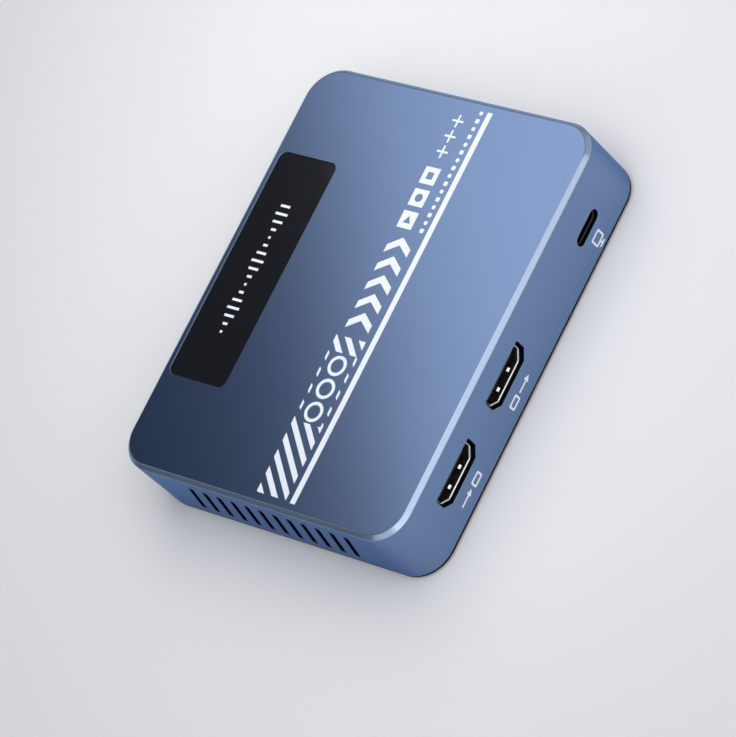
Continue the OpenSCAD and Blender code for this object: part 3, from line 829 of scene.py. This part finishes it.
@dataclass
class MarkRow:
    """A row of equal marks, in millimetres on a flat drawing."""

    name: str
    mark: Mark
    count: int
    pitch: float
    start: Point
    width: float = 1.0
    height: float = 1.0
    slope: float = 0.0
    stroke: float = 0.0
    swing: float = 0.0
    turn: float = 0.0

    def build(self, tree: MarkTree, finish: bpy.types.Material, thickness: float, place: Matrix) -> Piece:
        """Make the row as a plain mesh.

        Args:
            tree: the tree for this kind of mark.
            finish: the marks' material.
            thickness: how thick the marks are.
            place: turns and moves the flat drawing to where it lies, in millimetres.

        Returns:
            The new piece, with its place in its mesh.
        """
        piece = new_object(self.name, bpy.data.meshes.new(self.name))
        modifier = piece.modifiers.new("row", "NODES")
        modifier.node_group = tree.tree
        sockets = {item.name: item.identifier for item in tree.tree.interface.items_tree
                   if item.in_out == "INPUT"}
        values = {"Count": self.count, "Start": (*self.start, thickness / 2), "Pitch": self.pitch,
                  "Width": self.width, "Height": self.height, "Slope": self.slope, "Stroke": self.stroke,
                  "Swing": self.swing, "Turn": self.turn, "Thickness": thickness, "Finish": finish}
        for name, value in values.items():
            modifier[sockets[name]] = value
        piece.data = evaluated_mesh(piece)
        piece.modifiers.clear()
        piece.data.shade_flat()
        piece.data.transform(Matrix.Scale(MM, 4) @ place)
        return piece


def clip_between(piece: Piece, low: Point, high: Point) -> None:
    """Cut a piece off square outside a rectangle seen from above, and close the cuts.

    Args:
        piece: a piece of closed solids.
        low: the lowest X and Y to keep, in millimetres.
        high: the highest X and Y to keep.
    """
    tolerance = 1e-9
    shape = bmesh.new()
    shape.from_mesh(piece.data)
    for axis in range(2):
        for corner, way in ((low, -1.0), (high, 1.0)):
            normal = Vector((0.0, 0.0, 0.0))
            normal[axis] = way
            everything = shape.verts[:] + shape.edges[:] + shape.faces[:]
            bmesh.ops.bisect_plane(shape, geom=everything, plane_co=Vector((*corner, 0.0)) * MM,
                                   plane_no=normal, clear_outer=True, dist=tolerance)
            rims = [edge for edge in shape.edges if edge.is_boundary]
            bmesh.ops.holes_fill(shape, edges=rims, sides=0)
    bmesh.ops.recalc_face_normals(shape, faces=shape.faces)
    shape.to_mesh(piece.data)
    shape.free()


# The bench that every sub-assembly works at

def edge_middle(edge: Edge) -> Vector:
    """Return the middle of an edge in millimetres."""
    return (edge.verts[0].co + edge.verts[1].co) / (2 * MM)


def every_edge(edge: Edge) -> float:
    """Give any sharp edge the whole width of the rounding."""
    return 1.0


class Bench:
    """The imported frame, the finishes and the steps that every piece goes through."""

    SHARP = math.radians(28)
    FLAT = math.radians(0.4)
    MERGE = 2e-6

    def __init__(self, frame: dict, effects: EffectLibrary) -> None:
        """Keep the frame and make every material and every tree of marks.

        Args:
            frame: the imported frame.
            effects: the shared surface effects.
        """
        finishes = FinishSet()
        self.nodes: dict[str, Piece] = frame["nodes"]
        self.slot_of = {row["node"]: row["material_slot"] for row in frame["record"]["subparts"]}
        self.materials = {shade.name: shade.material(effects) for shade in finishes.shades}
        self.ink = finishes.ink.material(effects)
        self.trees = {mark: MarkTree(mark) for mark in Mark}

    def refined(self, node: str, name: str, width: float,
                share: Callable[[Edge], float] = every_edge) -> Piece:
        """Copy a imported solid, join its triangles and round its sharp edges.

        Args:
            node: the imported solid's name.
            name: the new piece's name.
            width: how wide the widest rounding is, in millimetres.
            share: gives the share of that width that a sharp edge gets.

        Returns:
            The new piece, which then stands for the solid.
        """
        shape = bmesh.new()
        shape.from_mesh(self.nodes[node].data)
        bmesh.ops.remove_doubles(shape, verts=shape.verts, dist=self.MERGE)
        bmesh.ops.dissolve_limit(shape, angle_limit=self.FLAT, verts=shape.verts, edges=shape.edges)
        weight = shape.edges.layers.float.new("bevel_weight_edge")
        for edge in shape.edges:
            sharp = len(edge.link_faces) == 2 and edge.calc_face_angle(0.0) > self.SHARP
            edge[weight] = share(edge) if sharp else 0.0
            edge.smooth = not sharp
        for face in shape.faces:
            face.smooth = True
        mesh = bpy.data.meshes.new(name)
        shape.to_mesh(mesh)
        shape.free()
        piece = new_object(name, mesh)
        rounding = piece.modifiers.new("rounding", "BEVEL")
        rounding.limit_method = "WEIGHT"
        rounding.width = width * MM
        rounding.segments = 2
        rounding.use_clamp_overlap = False
        flow = piece.modifiers.new("flow", "WEIGHTED_NORMAL")
        flow.mode = "FACE_AREA"
        flow.keep_sharp = True
        piece.data = evaluated_mesh(piece)
        piece.modifiers.clear()
        slot = self.slot_of[node]
        return self.settle(piece, slot, self.materials[slot], node)

    def settle(self, piece: Piece, slot: str, finish: bpy.types.Material, *nodes: str) -> Piece:
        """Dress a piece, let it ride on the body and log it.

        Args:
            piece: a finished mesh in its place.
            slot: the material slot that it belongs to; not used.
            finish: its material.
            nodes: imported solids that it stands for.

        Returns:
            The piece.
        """
        piece.data.materials.clear()
        piece.data.materials.append(finish)
        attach(piece, BODY)
        if nodes:
            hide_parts(*nodes)
        LOG.info("%s: %d faces", piece.name, len(piece.data.polygons))
        return piece

    def settle_ink(self, piece: Piece, slot: str) -> Piece:
        """Dress a printed piece in ink, let it ride with the surface under it and return it."""
        return self.settle(piece, slot, self.ink)

    def settle_row(self, row: MarkRow, thickness: float, place: Matrix, slot: str) -> Piece:
        """Make a row of marks in ink, let it ride with the surface under it and return it."""
        piece = row.build(self.trees[row.mark], self.ink, thickness, place)
        return self.settle_ink(piece, slot)

    def dress_nodes(self, nodes: Iterable[str]) -> None:
        """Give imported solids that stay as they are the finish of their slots.

        Args:
            nodes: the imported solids' names.
        """
        for node in nodes:
            slot = self.slot_of[node]
            for place in self.nodes[node].material_slots:
                place.material = self.materials[slot]
            LOG.info("%s: dressed", node)


# Sub-assemblies

@dataclass
class Casing:
    """The aluminium top shell, the black base under it, its screws and its feet.

    The edges are widths of roundings, and a skin is how deep the outside of a piece reaches. The tilts tell
    the bevel's faces and the cut walls, which get painted shade, by their normals.
    """

    bench: Bench
    edge: float = 0.12
    hole_edge: float = 0.06
    window_edge: float = 0.04
    base_edge: float = 0.1
    foot_edge: float = 0.15
    screw_edge: float = 0.04
    skin: float = 0.4
    rim_skin: float = 0.1
    bevel: float = 1.05
    bevel_tilt: Point = (0.4, 0.95)
    corner: float = 8.5
    wall: float = 1.0
    # Heights and tilt of the cut walls that get painted shade.
    shaded_wall_rows: Point = (3.0, 17.0)
    shaded_wall_tilt: float = 0.5
    half: Point = field(init=False)
    rim: float = field(init=False)
    top: float = field(init=False)

    def build(self) -> None:
        """Copy the shells and round their outer edges."""
        low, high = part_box("top_shell")
        self.half = ((high.x - low.x) / (2 * MM), (high.y - low.y) / (2 * MM))
        self.rim, self.top = low.z / MM, high.z / MM
        shell = self.bench.refined("top_shell", "casing", self.edge, self.skin_share)
        self.mark_bevel(shell)
        self.mark_painted_shade_walls(shell)
        self.bench.refined("base_plate", "base_tray", self.base_edge, self.under_share)
        self.bench.refined("rubber_feet", "foot_set", self.foot_edge)
        self.bench.refined("base_screws", "base_screw_set", self.screw_edge)

    def skin_share(self, edge: Edge) -> float:
        """Round the edges on the shell's outer skin, and those of its window, slots and port holes less.

        Args:
            edge: a sharp edge of the shell.

        Returns:
            The share of the rounding that it gets.
        """
        place = edge_middle(edge)
        x, y = (abs(place[i]) - self.half[i] + self.corner for i in range(2))
        past = (math.hypot(x, y) if min(x, y) > 0 else max(x, y)) - self.corner
        if place.z > self.top - self.bevel - self.skin:
            return 1.0 if past > -self.skin - self.bevel else self.window_edge / self.edge
        return self.hole_edge / self.edge if past > -self.skin else 0.0

    def under_share(self, edge: Edge) -> float:
        """Round the edges of the base's underside and rim."""
        return 1.0 if edge_middle(edge).z < self.rim + self.rim_skin else 0.0

    def mark_bevel(self, piece: Piece) -> None:
        """Mark the faces of the bevel round the top for the finish that cuts them bright.

        Args:
            piece: the casing.
        """
        marks = piece.data.attributes.new(CUT_EDGE, "FLOAT", "FACE")
        for face, mark in zip(piece.data.polygons, marks.data):
            inside = self.top - self.bevel < face.center.z / MM < self.top
            tilted = self.bevel_tilt[0] < face.normal.z < self.bevel_tilt[1]
            mark.value = float(inside and tilted)

    def mark_painted_shade_walls(self, piece: Piece) -> None:
        """Mark the cut walls of the vent slots and the port openings for the painted shade that darkens
        them.

        Args:
            piece: the casing.
        """
        marks = piece.data.attributes.new(PAINTED_SHADE_WALL, "FLOAT", "FACE")
        for face, mark in zip(piece.data.polygons, marks.data):
            place = face.center / MM
            deep = [self.half[i] - abs(place[i]) for i in range(2)]
            axis = deep.index(min(deep))
            inside = self.hole_edge < deep[axis] < self.wall
            level = self.shaded_wall_rows[0] < place.z < self.shaded_wall_rows[1]
            mark.value = float(inside and level and abs(face.normal[axis]) < self.shaded_wall_tilt)


@dataclass
class LightWindow:
    """The dark window in the top and what lights it from below.

    The swing is the share of its height that the lowest bar loses, and the turn is the angle of the wave
    from bar to bar, in radians.
    """

    bench: Bench
    edge: float = 0.12
    bar_count: int = 17
    bar_pitch: float = 2.05
    bar_width: float = 0.62
    bar_height: float = 3.6
    bar_swing: float = 0.82
    bar_turn: float = 1.05
    ink_thickness: float = 0.03
    inner: tuple[str, ...] = (
        "light_guide", "light_board", "lamps", "light_board_screws", "light_flex_socket",
        "board_flex_socket", "light_flex_cable")

    def build(self) -> None:
        """Make the window and the row of level bars printed on it, and dress what lies under it."""
        low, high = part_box("light_window")
        self.bench.refined("light_window", "window_panel", self.edge)
        start = (-(self.bar_count - 1) / 2 * self.bar_pitch, (low.y + high.y) / (2 * MM))
        row = MarkRow("window_level_bars", Mark.BAR, self.bar_count, self.bar_pitch, start,
                      width=self.bar_width, height=self.bar_height, swing=self.bar_swing,
                      turn=self.bar_turn)
        self.bench.settle_row(row, self.ink_thickness, on_top(high.z / MM), WINDOW_SLOT)
        self.bench.dress_nodes(self.inner)


@dataclass
class TopPrint:
    """White print on the top: warning stripes, a long line, marks and a dotted rule.

    Ends and starts lie along X, and sides and rows along Y, from the middle of the top.
    """

    bench: Bench
    thickness: float = 0.03
    line_ends: Point = (-49.9, 49.85)
    line_sides: Point = (-12.1, -10.65)
    band_low: Point = (-49.6, -9.25)
    band_high: Point = (-9.7, -0.5)
    stripe_width: float = 1.95
    stripe_pitch: float = 4.2
    stripe_shift: float = 1.3
    gap_ends: Point = (-31.4, -13.6)
    gap_rows: Point = (-8.65, -1.1)
    ring_count: int = 3
    ring_size: float = 5.0
    ring_stroke: float = 0.8
    ring_tuck: float = 0.1
    chevron_ends: Point = (-7.6, 16.2)
    chevron_sides: Point = (-8.6, -1.7)
    chevron_count: int = 5
    chevron_stroke: float = 2.0
    chevron_slope: float = 0.7
    tile_size: float = 4.3
    tile_start: float = 18.35
    tile_pitch: float = 5.7
    tile_low: float = -5.98
    play_radius: float = 1.25
    play_shift: float = 0.2
    record_radius: float = 1.05
    stop_size: float = 1.8
    plus_count: int = 3
    plus_start: float = 38.2
    plus_pitch: float = 4.0
    plus_size: float = 3.2
    plus_stroke: float = 0.5
    dot_count: int = 8
    dot_pitch: float = 4.06
    dot_start: Point = (18.8, -9.0)
    dot_size: float = 1.05
    place: Matrix = field(init=False)

    def build(self) -> None:
        """Print everything on the top face."""
        self.place = on_top(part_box("top_shell")[1].z / MM)
        self.line()
        self.stripes()
        self.marks()
        self.tiles()

    def put(self, row: MarkRow) -> Piece:
        """Print one row of marks on the top and return it."""
        return self.bench.settle_row(row, self.thickness, self.place, CASE_SLOT)

    def line(self) -> None:
        """Print the long line."""
        middle = (sum(self.line_ends) / 2, sum(self.line_sides) / 2)
        size = (self.line_ends[1] - self.line_ends[0], self.line_sides[1] - self.line_sides[0])
        piece = slab("print_line", [[rect_loop(middle, size)]], self.thickness, self.place)
        self.bench.settle_ink(piece, CASE_SLOT)

    def stripes(self) -> None:
        """Print the slanted stripes, whole at the band's ends and as short dashes beside the rings."""
        low, high = self.band_low, self.band_high
        left, right = self.gap_ends
        parts = {
            "print_stripes_left": (low, (left, high[1])),
            "print_stripes_right": ((right, low[1]), high),
            "print_dashes_low": ((left, low[1]), (right, self.gap_rows[0])),
            "print_dashes_high": ((left, self.gap_rows[1]), (right, high[1])),
        }
        height = high[1] - low[1]
        count = math.ceil((high[0] - low[0] + 2 * height) / self.stripe_pitch)
        start = (low[0] - height / 2 + self.stripe_shift, (low[1] + high[1]) / 2)
        for name, corners in parts.items():
            piece = self.put(MarkRow(name, Mark.BAR, count, self.stripe_pitch, start,
                                     width=self.stripe_width, height=height, slope=1.0))
            clip_between(piece, *corners)

    def marks(self) -> None:
        """Print the rings among the dashes, the arrowheads, the plus signs and the dotted rule."""
        middle = (self.band_low[1] + self.band_high[1]) / 2
        room = (self.gap_ends[1] - self.gap_ends[0]) / self.ring_count
        self.put(MarkRow("print_rings", Mark.RING, self.ring_count, room - self.ring_tuck,
                         (self.gap_ends[0] + room / 2, middle), width=self.ring_size,
                         stroke=self.ring_stroke))
        height = self.chevron_sides[1] - self.chevron_sides[0]
        deep = height / 2 * self.chevron_slope
        first = self.chevron_ends[0] + self.chevron_stroke / 2 + deep
        last = self.chevron_ends[1] - self.chevron_stroke / 2
        self.put(MarkRow("print_arrowheads", Mark.CHEVRON, self.chevron_count,
                         (last - first) / (self.chevron_count - 1), (first, sum(self.chevron_sides) / 2),
                         height=height, stroke=self.chevron_stroke, slope=self.chevron_slope))
        self.put(MarkRow("print_plus_signs", Mark.CROSS, self.plus_count, self.plus_pitch,
                         (self.plus_start, self.tile_low + self.tile_size / 2), width=self.plus_size,
                         stroke=self.plus_stroke))
        x, y = self.dot_start
        self.put(MarkRow("print_square_dots", Mark.BAR, self.dot_count, self.dot_pitch, (x, y),
                         width=self.dot_size, height=self.dot_size))
        self.put(MarkRow("print_round_dots", Mark.DISC, self.dot_count, self.dot_pitch,
                         (x + self.dot_pitch / 2, y), width=self.dot_size))

    def tiles(self) -> None:
        """Print three square tiles, each with a plain play, record or stop sign left open."""
        half = self.tile_size / 2
        middles = [(self.tile_start + i * self.tile_pitch + half, self.tile_low + half) for i in range(3)]
        play, record, stop = middles
        signs = [round_loop((play[0] - self.play_shift, play[1]), self.play_radius, sides=3),
                 round_loop(record, self.record_radius, sides=28),
                 rect_loop(stop, (self.stop_size, self.stop_size))]
        islands = [[rect_loop(middle, (self.tile_size, self.tile_size)), sign]
                   for middle, sign in zip(middles, signs)]
        self.bench.settle_ink(slab("print_tiles", islands, self.thickness, self.place), CASE_SLOT)


@dataclass
class PortLabels:
    """Small white signs on the port face: an arrow into a screen, one out of it, and a computer."""

    bench: Bench
    thickness: float = 0.03
    stroke: float = 0.5
    in_middle: Point = (-30.75, 4.33)
    out_middle: Point = (-6.2, 4.33)
    screen: Point = (3.4, 2.2)
    outer_corner: float = 0.45
    inner_corner: float = 0.15
    arrow_length: float = 4.6
    arrow_head: Point = (1.5, 1.7)
    gap: float = 0.8
    host_middle: Point = (33.05, 4.05)
    host_screen: Point = (3.5, 2.9)
    stem: float = 0.6
    foot: float = 2.0
    place: Matrix = field(init=False)
    base: float = field(init=False)

    def build(self) -> None:
        """Print the three signs, which lie in X and Z above the case's underside."""
        self.place = on_front(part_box("top_shell")[0].y / MM)
        self.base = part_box("base_plate")[0].z / MM
        self.put("label_in", self.arrow_sign(self.in_middle, arrow_first=True))
        self.put("label_out", self.arrow_sign(self.out_middle, arrow_first=False))
        self.put("label_host", self.computer_sign())

    def put(self, name: str, islands: list[Island]) -> None:
        """Print one sign."""
        self.bench.settle_ink(slab(name, islands, self.thickness, self.place), CASE_SLOT)

    def screen_outline(self, middle: Point, size: Point) -> Island:
        """Return a screen's frame: a rounded outline with an open middle."""
        inner = (size[0] - 2 * self.stroke, size[1] - 2 * self.stroke)
        return [rect_loop(middle, size, self.outer_corner), rect_loop(middle, inner, self.inner_corner)]

    def arrow_sign(self, middle: Point, arrow_first: bool) -> list[Island]:
        """Draw a screen with an arrow that leads to it or from it.

        Args:
            middle: the sign's middle.
            arrow_first: whether the arrow stands before the screen.

        Returns:
            The sign's islands.
        """
        high = middle[1] + self.base
        left = middle[0] - (self.screen[0] + self.gap + self.arrow_length) / 2
        arrow_at, screen_at = left, left + self.arrow_length + self.gap
        if not arrow_first:
            arrow_at, screen_at = left + self.screen[0] + self.gap, left
        arrow = arrow_loop((arrow_at, high), self.arrow_length, self.stroke, self.arrow_head)
        return [[arrow], self.screen_outline((screen_at + self.screen[0] / 2, high), self.screen)]

    def computer_sign(self) -> list[Island]:
        """Draw a screen on a stem and a foot.

        Returns:
            The sign's islands.
        """
        x, z = self.host_middle[0], self.host_middle[1] + self.base
        bottom = z - self.host_screen[1] / 2
        stem = rect_loop((x, bottom - self.stem / 2), (self.stroke, self.stem))
        foot = rect_loop((x, bottom - self.stem - self.stroke / 2), (self.foot, self.stroke))
        return [self.screen_outline((x, z), self.host_screen), [stem], [foot]]


@dataclass
class Sockets:
    """The two video sockets and the host socket behind the port face."""

    bench: Bench
    lip: float = 0.24
    shell_edge: float = 0.05
    inward: float = -0.1
    names: tuple[str, ...] = ("video_in", "video_out", "host_port")
    axis: Vector = field(init=False)
    front: float = field(init=False)

    def build(self) -> None:
        """Round the sheet-metal shells and dress the insulators and contacts."""
        for name in self.names:
            low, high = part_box(name + "_insulator")
            self.axis = Vector(((low.x + high.x) / 2, 0.0, (low.z + high.z) / 2)) / MM
            self.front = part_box(name + "_shell")[0].y / MM
            self.bench.refined(name + "_shell", name + "_sleeve", self.lip, self.lip_share)
            self.bench.refined(name + "_insulator", name + "_core", self.shell_edge)
            self.bench.dress_nodes([name + "_contacts"])

    def lip_share(self, edge: Edge) -> float:
        """Flare the inner edge of a shell's mouth and round its other edges less.

        Args:
            edge: a sharp edge of the shell.

        Returns:
            The share of the flare's width that it gets.
        """
        out = edge_middle(edge) - self.axis
        inner = any(face.normal.x * out.x + face.normal.z * out.z < self.inward for face in edge.link_faces)
        return 1.0 if inner and abs(out.y - self.front) < self.shell_edge else self.shell_edge / self.lip


@dataclass
class Electronics:
    """The main board and what it carries, closed in by the case."""

    bench: Bench
    nodes: tuple[str, ...] = (
        "main_board", "board_screws", "capture_processor", "heat_pad", "heat_sink", "video_receiver_chip",
        "video_driver_chip", "host_controller_chip", "memory_chips", "flash_chip", "clock_crystals",
        "power_chokes", "bulk_capacitors", "ceramic_capacitors", "chip_resistors")

    def build(self) -> None:
        """Give every piece of the electronics its finish."""
        self.bench.dress_nodes(self.nodes)


# Studio

def aim_along(made: Piece, way: Vector, turn: float) -> None:
    """Point a lamp or a camera along a direction, turned about it by so many degrees."""
    made.rotation_mode = "QUATERNION"
    made.rotation_quaternion = way.to_track_quat("-Z", "Y") @ Quaternion((0, 0, 1), math.radians(turn))


@dataclass(frozen=True)
class PhotoView:
    """The photograph's camera, fitted to the straight edges of the case."""

    azimuth: float = -19.615
    elevation: float = 47.611
    roll: float = -48.348
    distance: float = 1058.74
    aim: Spot = (-12.343, -4.714, 10.906)
    lens: float = 232.06
    sensor: float = 36.0
    clip: Point = (10.0, 100000.0)

    def build(self) -> None:
        """Make the scene's camera."""
        a, e = math.radians(self.azimuth), math.radians(self.elevation)
        back = Vector((math.sin(a) * math.cos(e), -math.cos(a) * math.cos(e), math.sin(e)))
        lens = bpy.data.cameras.new("photo_camera")
        lens.lens, lens.sensor_width = self.lens, self.sensor
        lens.clip_start, lens.clip_end = self.clip[0] * MM, self.clip[1] * MM
        camera = new_object("photo_camera", lens)
        camera.location = Vector(self.aim) * MM + back * self.distance * MM
        aim_along(camera, -back, self.roll)
        bpy.context.scene.camera = camera


@dataclass(frozen=True)
class Softbox:
    """A soft lamp: where it stands, its size, its brightness and what it looks at."""

    name: str
    at: Spot
    size: Point
    radiance: float
    aim: Spot = (0.0, 0.0, 0.0)
    turn: float = 0.0

    def build(self) -> None:
        """Make the lamp, with its power worked out from the brightness of its face."""
        lamp = bpy.data.lights.new(self.name, "AREA")
        lamp.shape = "RECTANGLE"
        lamp.size, lamp.size_y = self.size[0] * MM, self.size[1] * MM
        lamp.energy = self.radiance * math.pi * lamp.size * lamp.size_y
        made = new_object(self.name, lamp)
        made.location = Vector(self.at) * MM
        aim_along(made, (Vector(self.aim) - Vector(self.at)).normalized(), self.turn)


@dataclass(frozen=True)
class Studio:
    """A pale floor, soft lamps and a sky that is brighter on one side and fades away from it."""

    floor_size: float = 12000.0
    floor_finish: Finish = Finish("studio_floor", (0.86, 0.86, 0.87), 0.9)
    sky_dark: Colour = (0.018, 0.032, 0.062)
    sky_bright: Colour = (0.8, 0.8, 0.8)
    sky_towards: Spot = (0.9, -0.4, 0.1)
    sky_fall: float = 6.0
    lamps: tuple[Softbox, ...] = (
        Softbox("key_softbox", (82.0, 48.0, 150.0), (140.0, 280.0), 1.42, (82.0, 48.0, 0.0), turn=-50.0),
        Softbox("front_softbox", (0.0, -780.0, 660.0), (1300.0, 600.0), 1.1, (0.0, -42.0, 20.0)),
        Softbox("ceiling_softbox", (-150.0, -490.0, 1100.0), (1000.0, 1000.0), 1.5),
        Softbox("back_softbox", (-620.0, 620.0, 520.0), (700.0, 500.0), 0.6),
        Softbox("left_softbox", (-830.0, -300.0, 520.0), (1200.0, 900.0), 0.9),
    )

    def build(self, effects: EffectLibrary) -> None:
        """Set the view transform and make the floor, the sky and the lamps.

        Args:
            effects: the shared surface effects.
        """
        bpy.context.scene.view_settings.view_transform = "Standard"
        self.floor(effects)
        self.sky()
        for lamp in self.lamps:
            lamp.build()

    def floor(self, effects: EffectLibrary) -> None:
        """Lay a plain pale floor that the object stands on.

        Args:
            effects: the shared surface effects.
        """
        half = self.floor_size / 2 * MM
        mesh = bpy.data.meshes.new("studio_floor")
        mesh.from_pydata([(-half, -half, 0), (half, -half, 0), (half, half, 0), (-half, half, 0)], [],
                         [(0, 1, 2, 3)])
        mesh.materials.append(self.floor_finish.material(effects))
        new_object("studio_floor", mesh)

    def sky(self) -> None:
        """Light the scene from all round, from dark on one side to bright on the other."""
        world = bpy.data.worlds.new("studio_sky")
        world.use_nodes = True
        bpy.context.scene.world = world
        builder = NodeBuilder(world.node_tree)
        way = builder.add("ShaderNodeTexCoord").outputs["Generated"]
        along = builder.add("ShaderNodeVectorMath", {0: way, 1: Vector(self.sky_towards).normalized()},
                            operation="DOT_PRODUCT").outputs["Value"]
        mask = builder.math("POWER", builder.share(along), self.sky_fall)
        level = builder.blend(mask, (*self.sky_dark, 1.0), (*self.sky_bright, 1.0))
        builder.link(level, world.node_tree.nodes["Background"].inputs["Color"])


def main() -> None:
    """Load the frame, build the studio and dress every sub-assembly."""
    logging.basicConfig(level=logging.INFO, format="%(name)s %(message)s")
    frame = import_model()
    effects = EffectLibrary()
    PhotoView().build()
    Studio().build(effects)
    bench = Bench(frame, effects)
    for sub_assembly in (Casing, LightWindow, TopPrint, PortLabels, Sockets, Electronics):
        sub_assembly(bench).build()


if __name__ == "__main__":
    main()
